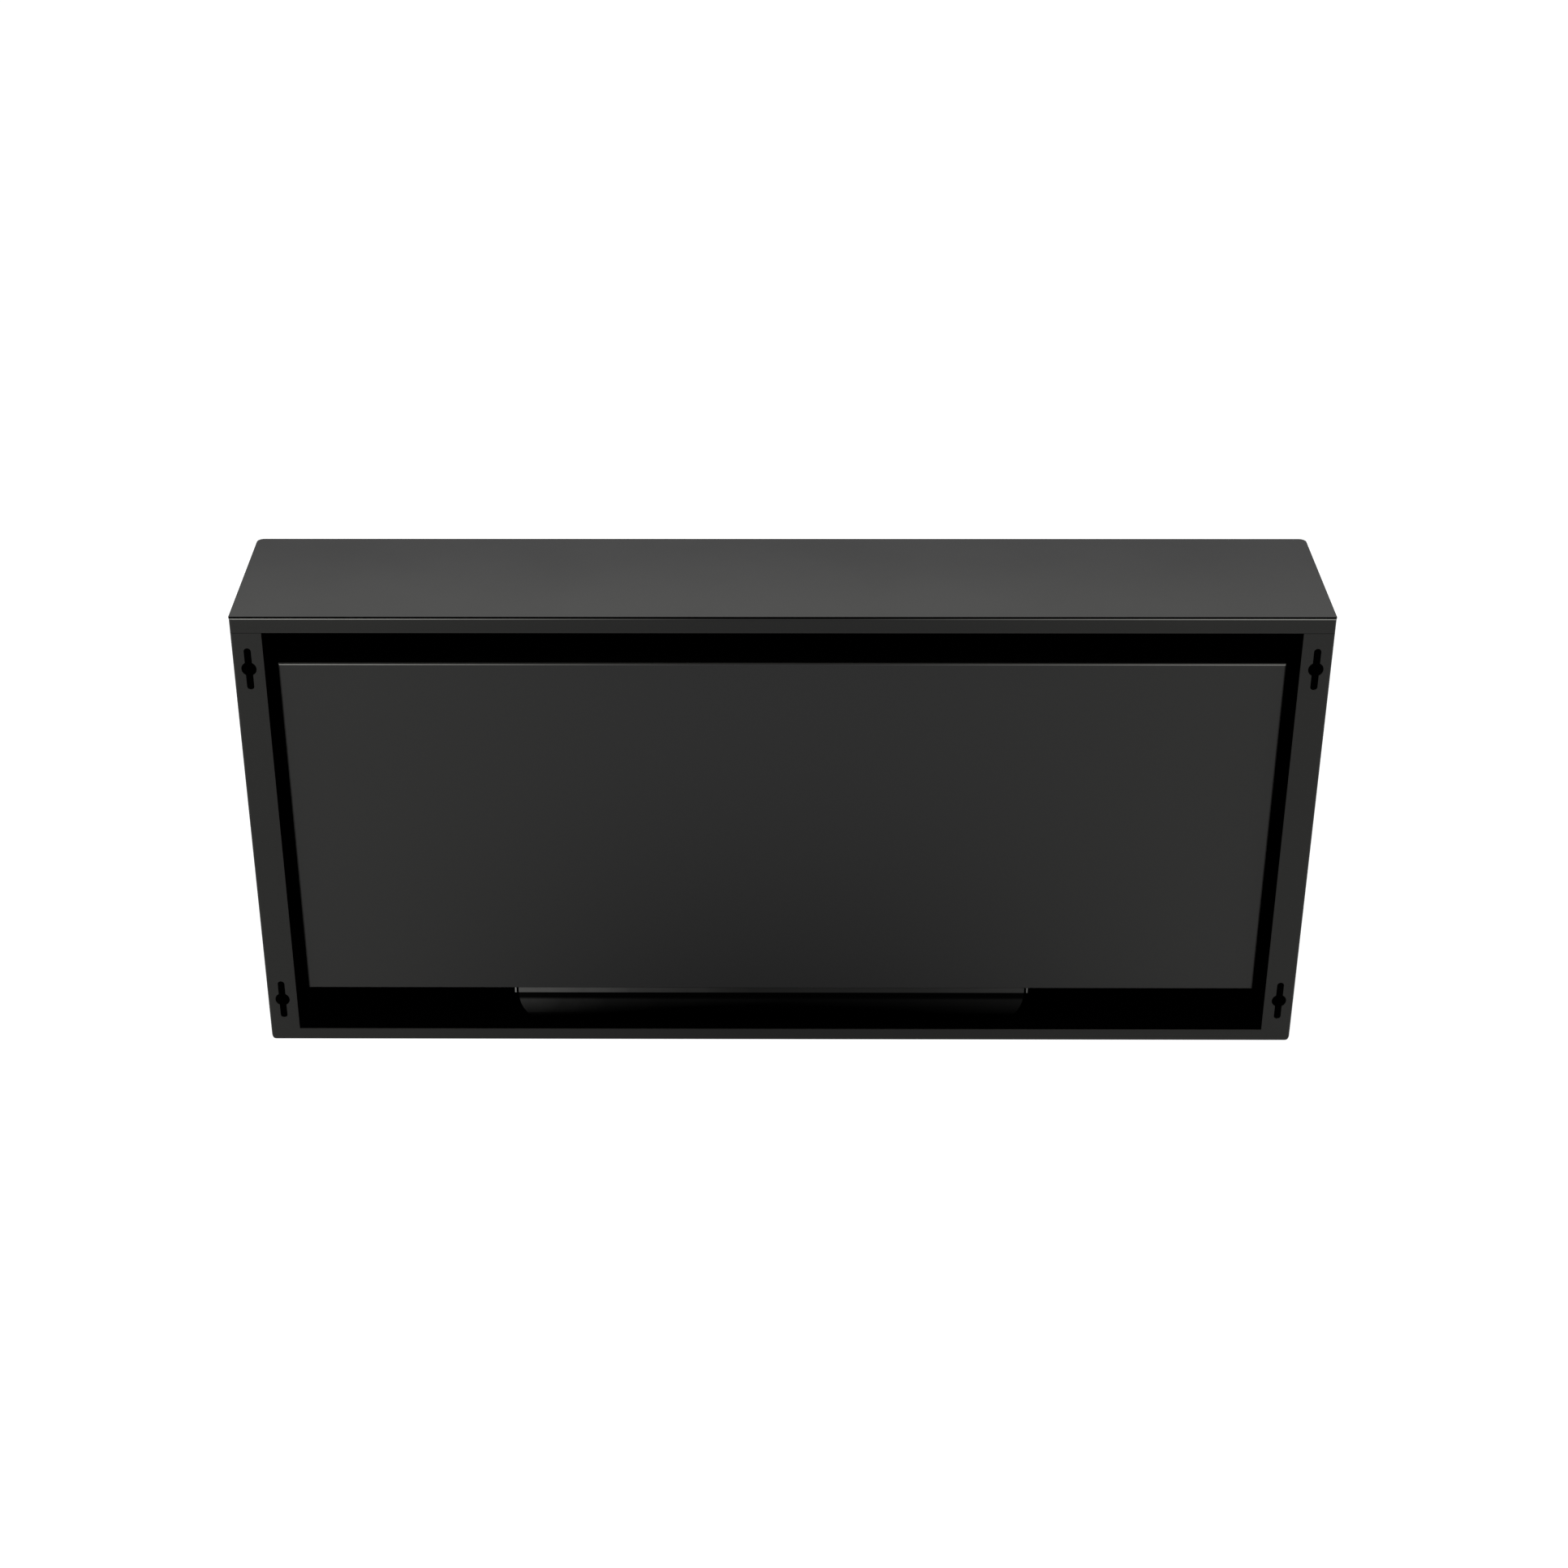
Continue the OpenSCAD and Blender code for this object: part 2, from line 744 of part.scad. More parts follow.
casing_shell();
top_panel();
lid_strip_left();
lid_strip_right();
lid_strip_front();
rear_top_rail();
firebox_back();
firebox_ceiling();
firebox_floor();
firebox_left_cheek();
firebox_right_cheek();
burner_collar();
collar_rear_strip();
weld_studs();
flange_nuts();
cheek_screws();
burner_tub();
burner_deck();
ceramic_wool();
shutter_guide_left();
shutter_guide_right();
guide_rivets();
burner_shutter();
shutter_knob();
glass_guard();
glass_clip_left();
glass_clip_right();
clip_liner_left();
clip_liner_right();
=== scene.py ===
# %% [markdown]
# # A wall-hung fireplace, dressed for its render
#
# The real object is a shallow steel case that hangs on four screws. Inside it, and clear of it all
# round, stands a second steel box, the firebox. A tub of liquid fuel hangs in the firebox's floor,
# and a low pane of glass guards the flames. We look at it from behind and above.
#
# Every steel sheet already exists as an exact solid. This lesson gives the sheets their finishes,
# and makes what exact solids do badly: threads, sockets, glass edges, woven tape and wool.
# All lengths are in metres, and the wall is the plane Y = 0, with the room on the side of -Y.

# %% Load the solids
import math
import random

import bmesh
import bpy
from mathutils import Matrix, Vector, noise


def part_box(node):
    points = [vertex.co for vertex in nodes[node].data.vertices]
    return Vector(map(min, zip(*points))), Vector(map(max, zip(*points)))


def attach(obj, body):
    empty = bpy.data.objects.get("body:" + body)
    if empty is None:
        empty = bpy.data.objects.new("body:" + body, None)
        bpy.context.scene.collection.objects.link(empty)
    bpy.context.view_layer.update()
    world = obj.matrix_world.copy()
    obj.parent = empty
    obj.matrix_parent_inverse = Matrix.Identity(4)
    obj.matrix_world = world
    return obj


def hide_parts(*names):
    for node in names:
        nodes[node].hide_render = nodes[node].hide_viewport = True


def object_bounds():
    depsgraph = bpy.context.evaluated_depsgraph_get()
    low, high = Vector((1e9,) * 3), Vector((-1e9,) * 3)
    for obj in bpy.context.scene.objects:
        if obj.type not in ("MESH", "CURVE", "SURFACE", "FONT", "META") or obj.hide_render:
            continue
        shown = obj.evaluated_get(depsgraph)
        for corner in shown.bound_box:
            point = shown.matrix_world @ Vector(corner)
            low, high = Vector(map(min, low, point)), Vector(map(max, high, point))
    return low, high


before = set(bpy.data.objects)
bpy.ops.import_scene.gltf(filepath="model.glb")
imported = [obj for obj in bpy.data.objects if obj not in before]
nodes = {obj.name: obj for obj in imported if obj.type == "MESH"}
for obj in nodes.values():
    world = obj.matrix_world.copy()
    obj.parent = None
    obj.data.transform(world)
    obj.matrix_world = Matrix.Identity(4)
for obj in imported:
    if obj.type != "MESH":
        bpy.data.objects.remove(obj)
cad_box = [list(corner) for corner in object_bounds()]

MM = 0.001
low, high = (Vector(corner) for corner in cad_box)
print("solids:", len(nodes), "size in mm:", [round(side / MM) for side in high - low])

# %% [markdown]
# ## The camera
#
# The view is fixed by where the camera stands and by how it is turned. We could track an empty, but
# then the view would depend on a constraint. Here the turn is written out as three angles: how far
# it looks round, how far it looks down, and how far it leans. A longish lens of 64 mm, two metres
# away, gives the mild narrowing towards the bottom. The small sideways shift keeps the object in
# the middle of the frame although the camera faces a point beside it.

# %% Camera
CAMERA_PLACE = Vector((0.0154, 2.0206, 1.1968))
CAMERA_HEADING = math.radians(180.497)
CAMERA_DOWN = math.radians(29.523)
CAMERA_LEAN = math.radians(-0.194)

camera_data = bpy.data.cameras.new("view_camera")
camera_data.sensor_width = 36
camera_data.lens = 63.54
camera_data.shift_x = 0.0269
camera = bpy.data.objects.new("view_camera", camera_data)
camera.matrix_world = (
    Matrix.Translation(CAMERA_PLACE)
    @ Matrix.Rotation(CAMERA_HEADING, 4, "Z")
    @ Matrix.Rotation(math.pi / 2 - CAMERA_DOWN, 4, "X")
    @ Matrix.Rotation(CAMERA_LEAN, 4, "Z")
)
bpy.context.collection.objects.link(camera)
bpy.context.scene.camera = camera
bpy.context.scene.view_settings.view_transform = "Standard"
print("camera is", round(CAMERA_PLACE.length, 2), "m from the middle of the back")

# %% [markdown]
# ## Helpers for materials
#
# A finish is a small net of shader nodes. Two helpers are enough for all of them: one turns a
# colour as it is written for screens into the linear value that light works in, and one adds a
# node with its settings and its links in a single call.


# %% Colour and node helpers
def linear(hex_colour):
    """An sRGB colour such as "#2b2b2a" as the linear RGBA that shaders use."""
    channels = [int(hex_colour[i : i + 2], 16) / 255 for i in (1, 3, 5)]
    return [c / 12.92 if c <= 0.04045 else ((c + 0.055) / 1.055) ** 2.4 for c in channels] + [1]


def add(tree, kind, settings=None, **inputs):
    """Adds a node. An input is a value, or the output socket of another node."""
    node = tree.nodes.new(kind)
    for name, value in (settings or {}).items():
        setattr(node, name, value)
    for name, value in inputs.items():
        key = int(name[1:]) if name[1:].isdigit() else name.replace("_", " ")
        if isinstance(value, bpy.types.NodeSocket):
            tree.links.new(value, node.inputs[key])
        else:
            node.inputs[key].default_value = value
    return node


def new_material(name):
    """A material with an empty net, and the net."""
    material = bpy.data.materials.new(name)
    material.use_nodes = True
    material.node_tree.nodes.clear()
    return material, material.node_tree


def finish_material(tree, shader):
    add(tree, "ShaderNodeOutputMaterial", Surface=shader.outputs[0])


print("black paint #2b2b2a is", [round(c, 4) for c in linear("#2b2b2a")[:3]], "in linear light")

# %% [markdown]
# ## Floor, background and light
#
# The object is shown on white. Turning the lamps up until the floor burns out would wash out the
# black paint too. Instead, rays that come straight from the camera, or from a mirror or a pane,
# find most of the floor's white as its own glow, and only the rest comes from the lamps, so that a
# soft shadow stays. The world behind it does the same.

# %% Stage
GLOW = 0.8
PAPER_GREY = 0.45
FLOOR_SIDE = 40


def seen_plainly(tree):
    """1 for a ray from the camera, from a mirror or through a pane, and 0 for any other."""
    path = add(tree, "ShaderNodeLightPath").outputs
    mirrored = add(
        tree, "ShaderNodeMath", {"operation": "MAXIMUM"},
        _0=path["Is Camera Ray"], _1=path["Is Glossy Ray"],
    )
    return add(
        tree, "ShaderNodeMath", {"operation": "MAXIMUM"},
        _0=mirrored.outputs[0], _1=path["Is Transmission Ray"],
    ).outputs[0]


white_floor, tree = new_material("white paper floor")
glow = add(tree, "ShaderNodeMath", {"operation": "MULTIPLY"}, _0=seen_plainly(tree), _1=GLOW)
paper = add(tree, "ShaderNodeBsdfDiffuse", Color=(PAPER_GREY, PAPER_GREY, PAPER_GREY, 1))
light = add(tree, "ShaderNodeEmission", Strength=glow.outputs[0])
both = add(tree, "ShaderNodeAddShader", _0=paper.outputs[0], _1=light.outputs[0])
finish_material(tree, both)

floor_mesh = bpy.data.meshes.new("floor")
floor_form = bmesh.new()
bmesh.ops.create_grid(floor_form, x_segments=1, y_segments=1, size=FLOOR_SIDE / 2)
bmesh.ops.translate(floor_form, verts=floor_form.verts, vec=(0, 0, low.z))
floor_form.to_mesh(floor_mesh)
floor_form.free()
floor = bpy.data.objects.new("floor", floor_mesh)
floor.data.materials.append(white_floor)
bpy.context.collection.objects.link(floor)
print("floor at", round(low.z / MM), "mm")

# %% World
SKY = 0.55
world = bpy.data.worlds.new("white room")
world.use_nodes = True
bpy.context.scene.world = world
tree = world.node_tree
tree.nodes.clear()
strength = add(tree, "ShaderNodeMapRange", Value=seen_plainly(tree), To_Min=SKY, To_Max=1.0)
sky = add(tree, "ShaderNodeBackground", Color=(1, 1, 1, 1), Strength=strength.outputs[0])
add(tree, "ShaderNodeOutputWorld", Surface=sky.outputs[0])
print("sky strength", SKY)


# %% Lamps
def soft_lamp(name, place, aim, side, watts):
    """A square soft box at a place, turned to the point that it aims at."""
    data = bpy.data.lights.new(name, "AREA")
    data.size = side
    data.energy = watts
    lamp = bpy.data.objects.new(name, data)
    turn = (Vector(aim) - Vector(place)).to_track_quat("-Z", "Y").to_matrix().to_4x4()
    lamp.matrix_world = Matrix.Translation(place) @ turn
    bpy.context.collection.objects.link(lamp)


soft_lamp("left_key", (1.0, 1.2, 1.9), (0.1, 0, 0), 0.7, 15)
soft_lamp("right_key", (-1.0, 1.2, 1.9), (-0.1, 0, 0), 0.7, 11.5)
soft_lamp("left_side", (1.25, 1.0, 0.25), (0.2, 0, 0), 0.7, 4.5)
soft_lamp("right_side", (-1.25, 1.0, 0.25), (-0.2, 0, 0), 0.7, 2.2)
soft_lamp("front_fill", (0.1, -1.0, 1.15), (0, 0, 0.2), 0.9, 0.8)
print("lamps: 5")

# %% [markdown]
# ## Powder coat and stove paint
#
# The case is sprayed with black powder and baked. The melt levels itself almost smooth, and leaves
# a fine orange peel of about 1.5 mm from bump to bump, under a satin gloss. It is a clear binder
# full of carbon black, so it is a dielectric: nearly no colour of its own, and a pale reflection
# that grows where we look along the sheet. A mirror-like base would be wrong, because the tiny
# filler grains spread the reflection. So the roughness is high and wanders a little, and the peel
# is a shallow bump. The firebox gets stove paint, which is a little flatter and grainier.
#
# An even black would look like plastic, so light and shade are painted into the finish. The gap
# round the firebox and the lid's cut edge get painted shade: the mask that blackens those places
# also turns them to metal. Painted light makes the ends lighter than the middle, except on upward
# faces, and painted shade darkens the middle towards the bottom. Bends get a painted highlight,
# strongest towards the ends, and upward faces a painted sheen, lighter by the wall.

# %% Where shade is painted
box_low, box_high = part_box("firebox_back")
HALF_SHEET = 0.75 * MM
BEND = 4.25 * MM
BLUR = 0.2 * MM


def outside(tree, place, corner_a, corner_b, rounding=0.0):
    """How far a point lies outside a box with rounded edges. Deep inside it is -rounding."""
    middle = (corner_a + corner_b) / 2
    straight = (corner_b - corner_a) / 2 - Vector((rounding, rounding, rounding))
    reach = add(tree, "ShaderNodeVectorMath", {"operation": "SUBTRACT"}, _0=place, _1=middle)
    reach = add(tree, "ShaderNodeVectorMath", {"operation": "ABSOLUTE"}, _0=reach.outputs[0])
    reach = add(
        tree, "ShaderNodeVectorMath", {"operation": "SUBTRACT"}, _0=reach.outputs[0], _1=straight,
    )
    reach = add(
        tree, "ShaderNodeVectorMath", {"operation": "MAXIMUM"}, _0=reach.outputs[0], _1=(0, 0, 0),
    )
    length = add(tree, "ShaderNodeVectorMath", {"operation": "LENGTH"}, _0=reach.outputs[0])
    return add(
        tree, "ShaderNodeMath", {"operation": "SUBTRACT"}, _0=length.outputs[1], _1=rounding,
    ).outputs[0]


def gap_shade(tree, place, facing, inset, setback):
    """Painted shade: 1 in the gap between case and firebox and on the lid's rear edge, 0 elsewhere.
    """
    skin = Vector((HALF_SHEET, HALF_SHEET, HALF_SHEET))
    case = outside(tree, place, low + skin, high - skin - Vector((0, setback, 0)), BEND)
    firebox = outside(
        tree, place, Vector((box_low.x + inset, -1, box_low.z + inset)),
        Vector((box_high.x - inset, 1, box_high.z - inset)),
    )
    within = add(tree, "ShaderNodeMapRange", Value=case, From_Min=0.0, From_Max=-BLUR)
    beyond = add(tree, "ShaderNodeMapRange", Value=firebox, From_Min=0.0, From_Max=BLUR)
    gap = add(
        tree, "ShaderNodeMath", {"operation": "MINIMUM"},
        _0=within.outputs[0], _1=beyond.outputs[0],
    )
    axes = add(tree, "ShaderNodeSeparateXYZ", Vector=place).outputs
    lid = add(
        tree, "ShaderNodeMapRange", Value=axes[2], From_Min=high.z - 2 * HALF_SHEET - BLUR,
        From_Max=high.z - 2 * HALF_SHEET,
    )
    rearward = add(tree, "ShaderNodeMapRange", Value=facing[1], From_Min=0.8, From_Max=0.9)
    edge = add(
        tree, "ShaderNodeMath", {"operation": "MINIMUM"}, _0=lid.outputs[0], _1=rearward.outputs[0],
    )
    return add(
        tree, "ShaderNodeMath", {"operation": "MAXIMUM"}, _0=gap.outputs[0], _1=edge.outputs[0],
    ).outputs[0]


print("firebox in mm:", [round(side / MM) for side in box_high - box_low])

# %% Sprayed black finishes
PEEL_PITCH = 1.5 * MM
GRAIN_PITCH = 0.35 * MM
# Roughness of the painted gap shade.
GAP_SHADE_ROUGHNESS = 0.85
# The painted sheen on upward faces by the wall.
WALL_SHEEN_TONE = "#2a2a28"
# Painted shade darkens from this height down, and gathers towards the bottom.
LOW_SHADE_START = 130 * MM
LOW_SHADE_GATHERS = 1.5


def painted(name, colours, roughness, wander, grain, painted_shade, inset, setback):
    """A sprayed black finish with painted light and shade. colours are the shaded middle, the lit
    ends, the painted highlight on bends and the black of the painted gap shade. painted_shade is
    how black the painted shade gets low in the middle. inset moves the painted gap shade's inner
    edge into the firebox's outline, and setback moves its rear edge away from the wall."""
    material, tree = new_material(name)
    # bare is the black of the painted gap shade.
    shaded_middle_tone, lit_end_tone, highlight_tone, bare = [linear(colour) for colour in colours]
    place = add(tree, "ShaderNodeTexCoord").outputs["Object"]
    normal = add(tree, "ShaderNodeNewGeometry").outputs["Normal"]
    facing = add(tree, "ShaderNodeSeparateXYZ", Vector=normal).outputs
    axes = add(tree, "ShaderNodeSeparateXYZ", Vector=place).outputs
    side = add(tree, "ShaderNodeMath", {"operation": "ABSOLUTE"}, _0=axes[0])
    ends = add(
        tree, "ShaderNodeMapRange", {"interpolation_type": "SMOOTHSTEP"}, Value=side.outputs[0],
        From_Min=0.02, From_Max=0.45,
    )
    # Painted light: the ends are lighter than the middle, except on upward faces; a cloud adds
    # random tone.
    cloud = add(tree, "ShaderNodeTexNoise", Vector=place, Scale=9.0, Detail=4.0, Roughness=0.55)
    lit_ends_and_cloud = add(
        tree, "ShaderNodeMath", {"operation": "MULTIPLY_ADD"},
        _0=cloud.outputs[0], _1=0.3, _2=ends.outputs[0],
    )
    upward = add(tree, "ShaderNodeMapRange", Value=facing[2], From_Min=0.8, From_Max=0.95)
    lit_ends_and_cloud = add(
        tree, "ShaderNodeMath", {"operation": "SUBTRACT", "use_clamp": True},
        _0=lit_ends_and_cloud.outputs[0], _1=upward.outputs[0],
    )
    tone = add(
        tree, "ShaderNodeMix", {"data_type": "RGBA"}, Factor=lit_ends_and_cloud.outputs[0], _6=shaded_middle_tone, _7=lit_end_tone,
    )
    # Painted highlight: bends facing up and back are painted lighter, most towards the ends.
    bend = add(tree, "ShaderNodeMath", {"operation": "MULTIPLY"}, _0=facing[1], _1=facing[2])
    bend = add(tree, "ShaderNodeMapRange", Value=bend.outputs[0], From_Min=0.4, From_Max=0.49)
    wear_and_highlight = add(
        tree, "ShaderNodeMath", {"operation": "MULTIPLY"}, _0=bend.outputs[0], _1=ends.outputs[0],
    )
    tone = add(
        tree, "ShaderNodeMix", {"data_type": "RGBA"}, Factor=wear_and_highlight.outputs[0],
        _6=tone.outputs[2], _7=highlight_tone,
    )
    # Painted sheen: upward faces are painted lighter towards the wall.
    by_wall = add(
        tree, "ShaderNodeMapRange", {"interpolation_type": "SMOOTHSTEP"}, Value=axes[1],
        From_Min=low.y, From_Max=high.y,
    )
    wall_sheen = add(
        tree, "ShaderNodeMath", {"operation": "MULTIPLY"},
        _0=upward.outputs[0], _1=by_wall.outputs[0],
    )
    tone = add(
        tree, "ShaderNodeMix", {"data_type": "RGBA"}, Factor=wall_sheen.outputs[0],
        _6=tone.outputs[2], _7=linear(WALL_SHEEN_TONE),
    )
    # Painted shade: the gap round the firebox and the lid's cut edge turn into black metal.
    dark = gap_shade(tree, place, facing, inset, setback)
    # Painted shade: darker towards the bottom, most in the middle.
    depth = add(
        tree, "ShaderNodeMapRange", Value=axes[2], From_Min=LOW_SHADE_START, From_Max=box_low.z,
    )
    depth = add(
        tree, "ShaderNodeMath", {"operation": "POWER"}, _0=depth.outputs[0], _1=LOW_SHADE_GATHERS,
    )
    centre = add(tree, "ShaderNodeMapRange", Value=ends.outputs[0], To_Min=painted_shade, To_Max=0.0)
    low_shade = add(
        tree, "ShaderNodeMath", {"operation": "MULTIPLY"},
        _0=depth.outputs[0], _1=centre.outputs[0],
    )
    black = add(tree, "ShaderNodeMath", {"operation": "MAXIMUM"}, _0=dark, _1=low_shade.outputs[0])
    tone = add(
        tree, "ShaderNodeMix", {"data_type": "RGBA"}, Factor=black.outputs[0],
        _6=tone.outputs[2], _7=bare,
    )
    gloss = add(
        tree, "ShaderNodeMapRange", Value=cloud.outputs[0], From_Min=0.3, From_Max=0.7,
        To_Min=roughness - wander, To_Max=roughness + wander,
    )
    gloss = add(
        tree, "ShaderNodeMix", {"data_type": "FLOAT"}, Factor=dark,
        _2=gloss.outputs[0], _3=GAP_SHADE_ROUGHNESS,
    )
    peel = add(
        tree, "ShaderNodeTexNoise", Vector=place, Scale=1 / PEEL_PITCH, Detail=2.0, Roughness=0.4,
    )
    grit = add(tree, "ShaderNodeTexNoise", Vector=place, Scale=1 / GRAIN_PITCH, Detail=1.0)
    height = add(
        tree, "ShaderNodeMix", {"data_type": "FLOAT"}, Factor=grain,
        _2=peel.outputs[0], _3=grit.outputs[0],
    )
    bump = add(tree, "ShaderNodeBump", Height=height.outputs[0], Strength=0.12, Distance=0.02 * MM)
    shader = add(
        tree, "ShaderNodeBsdfPrincipled", Base_Color=tone.outputs[2], Roughness=gloss.outputs[0],
        Normal=bump.outputs[0], Metallic=black.outputs[0], IOR=1.5, Specular_IOR_Level=0.19,
    )
    finish_material(tree, shader)
    return material


print("peel every", round(PEEL_PITCH / MM, 2), "mm, grain every", round(GRAIN_PITCH / MM, 2), "mm")


# %% Coats of black
def coat(material, *names):
    """Gives carried-over solids their finish."""
    for name in names:
        nodes[name].material_slots[0].material = material
    print(material.name, "on", len(names), "solids")


# Colours: shaded middle, lit ends, painted highlight, painted gap black.
powder_coat = painted(
    "black powder coat", ["#080807", "#131311", "#7c7c78", "#020202"], 0.42, 0.02, 0.0, 0.2,
    inset=-0.3 * MM, setback=0.0,
)
stove_paint = painted(
    "black stove paint", ["#1a1a1a", "#1f1f1e", "#7c7c78", "#020202"], 0.45, 0.03, 0.5, 0.42,
    inset=1.8 * MM, setback=2 * MM - box_high.y,
)
coat(
    powder_coat, "casing_shell", "top_panel", "lid_strip_left", "lid_strip_right",
    "lid_strip_front", "rear_top_rail",
)
coat(
    stove_paint, "firebox_back", "firebox_ceiling", "firebox_floor", "firebox_left_cheek",
    "firebox_right_cheek", "glass_clip_left", "glass_clip_right",
)

# %% [markdown]
# ## Bare steel with painted light and shade
#
# The tub and the strips of its cut-out are left bare. A ramp along X says how much light each place
# gives back, and it paints light and shade: darker in the middle, lighter towards the ends. Two
# noises break it up: a cloudy one, and one drawn out along the strip as the rolling marks are. It
# is a metal, so the colour is the colour of its reflection.
#
# On the tub the painted shade has a shape. A black band of painted shadow lies under the collar,
# and painted shade climbs the rear wall from the bottom, higher in the middle than at the ends. So
# each point's height is also compared with the foot of the lit steel, and that foot rises towards
# the middle.

# %% Steel with painted light and shade
STRAY = 0.16
FOOT_CURVE = 1.7


def shaded_steel(name, ramp, roughness, painted_shade=None):
    """ramp lists (x, brightness), painted light and shade along X. painted_shade lists four heights
    on the tub: where the painted shadow under the collar ends, where the steel is lit, and the lit
    steel's foot in the middle and at the ends."""
    material, tree = new_material(name)
    place = add(tree, "ShaderNodeTexCoord").outputs["Object"]
    axes = add(tree, "ShaderNodeSeparateXYZ", Vector=place).outputs
    start, end = ramp[0][0], ramp[-1][0]
    # Painted light and shade: the ramp along X is darker in the middle and lighter towards the
    # ends.
    along = add(tree, "ShaderNodeMapRange", Value=axes[0], From_Min=start, From_Max=end)
    cloud = add(tree, "ShaderNodeTexNoise", Vector=place, Scale=25.0, Detail=5.0, Roughness=0.6)
    stray = add(
        tree, "ShaderNodeMath", {"operation": "MULTIPLY_ADD"},
        _0=cloud.outputs[0], _1=STRAY, _2=along.outputs[0],
    )
    shift = add(
        tree, "ShaderNodeMath", {"operation": "SUBTRACT"}, _0=stray.outputs[0], _1=STRAY / 2,
    )
    colours = add(tree, "ShaderNodeValToRGB", Fac=shift.outputs[0])
    stops = colours.color_ramp.elements
    for x, brightness in ramp[1:-1]:
        stops.new((x - start) / (end - start))
    for stop, (x, brightness) in zip(stops, ramp):
        stop.color = (brightness, brightness, brightness * 0.97, 1)
    tone = colours.outputs[0]
    # Painted shadow under the collar, and painted shade rising from the bottom, higher in the
    # middle.
    if painted_shade:
        shadow_end, bright, middle_foot, end_foot = painted_shade
        clear = add(
            tree, "ShaderNodeMapRange", Value=axes[2], From_Min=shadow_end, From_Max=bright,
            To_Min=0.06, To_Max=1.0,
        )
        aside = add(tree, "ShaderNodeMath", {"operation": "SUBTRACT"}, _0=along.outputs[0], _1=0.5)
        aside = add(tree, "ShaderNodeMath", {"operation": "ABSOLUTE"}, _0=aside.outputs[0])
        curve = add(tree, "ShaderNodeMapRange", Value=aside.outputs[0], From_Max=0.5)
        curve = add(
            tree, "ShaderNodeMath", {"operation": "POWER"}, _0=curve.outputs[0], _1=FOOT_CURVE,
        )
        foot = add(
            tree, "ShaderNodeMapRange", Value=curve.outputs[0], To_Min=middle_foot, To_Max=end_foot,
        )
        rise = add(
            tree, "ShaderNodeMapRange", Value=axes[2], From_Min=foot.outputs[0], From_Max=bright,
        )
        shown = add(
            tree, "ShaderNodeMath", {"operation": "MULTIPLY"},
            _0=clear.outputs[0], _1=rise.outputs[0],
        )
        tone = add(
            tree, "ShaderNodeMix", {"data_type": "RGBA", "blend_type": "MULTIPLY"},
            Factor=1.0, _6=tone, _7=shown.outputs[0],
        ).outputs[2]
    drawn = add(tree, "ShaderNodeMapping", Vector=place, Scale=(30, 1500, 1500))
    marks = add(tree, "ShaderNodeTexNoise", Vector=drawn.outputs[0], Scale=1.0, Detail=3.0)
    gloss = add(
        tree, "ShaderNodeMapRange", Value=marks.outputs[0],
        To_Min=roughness - 0.06, To_Max=roughness + 0.06,
    )
    bump = add(tree, "ShaderNodeBump", Height=marks.outputs[0], Strength=0.1, Distance=0.01 * MM)
    shader = add(
        tree, "ShaderNodeBsdfPrincipled", Base_Color=tone, Roughness=gloss.outputs[0],
        Normal=bump.outputs[0], Metallic=1.0,
    )
    finish_material(tree, shader)
    return material


print("tints stray over", STRAY, "of a sheet's length")

# %% Bare steel round the burner
strip_low, strip_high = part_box("collar_rear_strip")
tub_low, tub_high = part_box("burner_tub")
# Each ramp paints light along X, lighter towards the ends.
strip_steel = shaded_steel(
    "rear strip, with painted light and shade",
    [
        (strip_low.x, 0.022), (-0.12, 0.013), (0.02, 0.010), (0.13, 0.025), (strip_high.x, 0.065),
    ],
    roughness=0.32,
)
collar_steel = shaded_steel(
    "collar, bare steel",
    [(tub_low.x, 0.08), (-0.12, 0.05), (0.13, 0.1), (tub_high.x, 0.16)], roughness=0.35,
)
rim = strip_low.z
tub_steel = shaded_steel(
    "tub, dark steel with painted shade",
    [
        (tub_low.x, 0.005), (-0.17, 0.0036), (-0.1, 0.0016), (0.0, 0.001), (0.1, 0.003),
        (0.16, 0.0052), (0.18, 0.0083), (tub_high.x, 0.022),
    ],
    roughness=0.4, painted_shade=(rim - 7 * MM, rim - 9.5 * MM, rim - 14.5 * MM, rim - 36.5 * MM),
)
coat(strip_steel, "collar_rear_strip")
coat(collar_steel, "burner_collar")
coat(tub_steel, "burner_tub")

# %% [markdown]
# ## Brushed and turned stainless steel
#
# The deck, the shutter and its guides are cut from sheet that a belt has brushed along its length.
# Each scratch is long and fine, so the noise is stretched: 60 mm along X against 0.4 mm across. It
# moves both the roughness and a tiny bump. Next to the flames the steel takes a straw tint. The
# knob was turned on a lathe instead, so its marks are rings: the noise reads the distance from the
# knob's own axis, which a Mapping node puts at zero. Real scratches are finer than both, and would
# not show.

# %% Stainless steel
SCRATCH_LENGTH = 62.5 * MM
SCRATCH_PITCH = 0.4 * MM
RING_PITCH = MM / 6


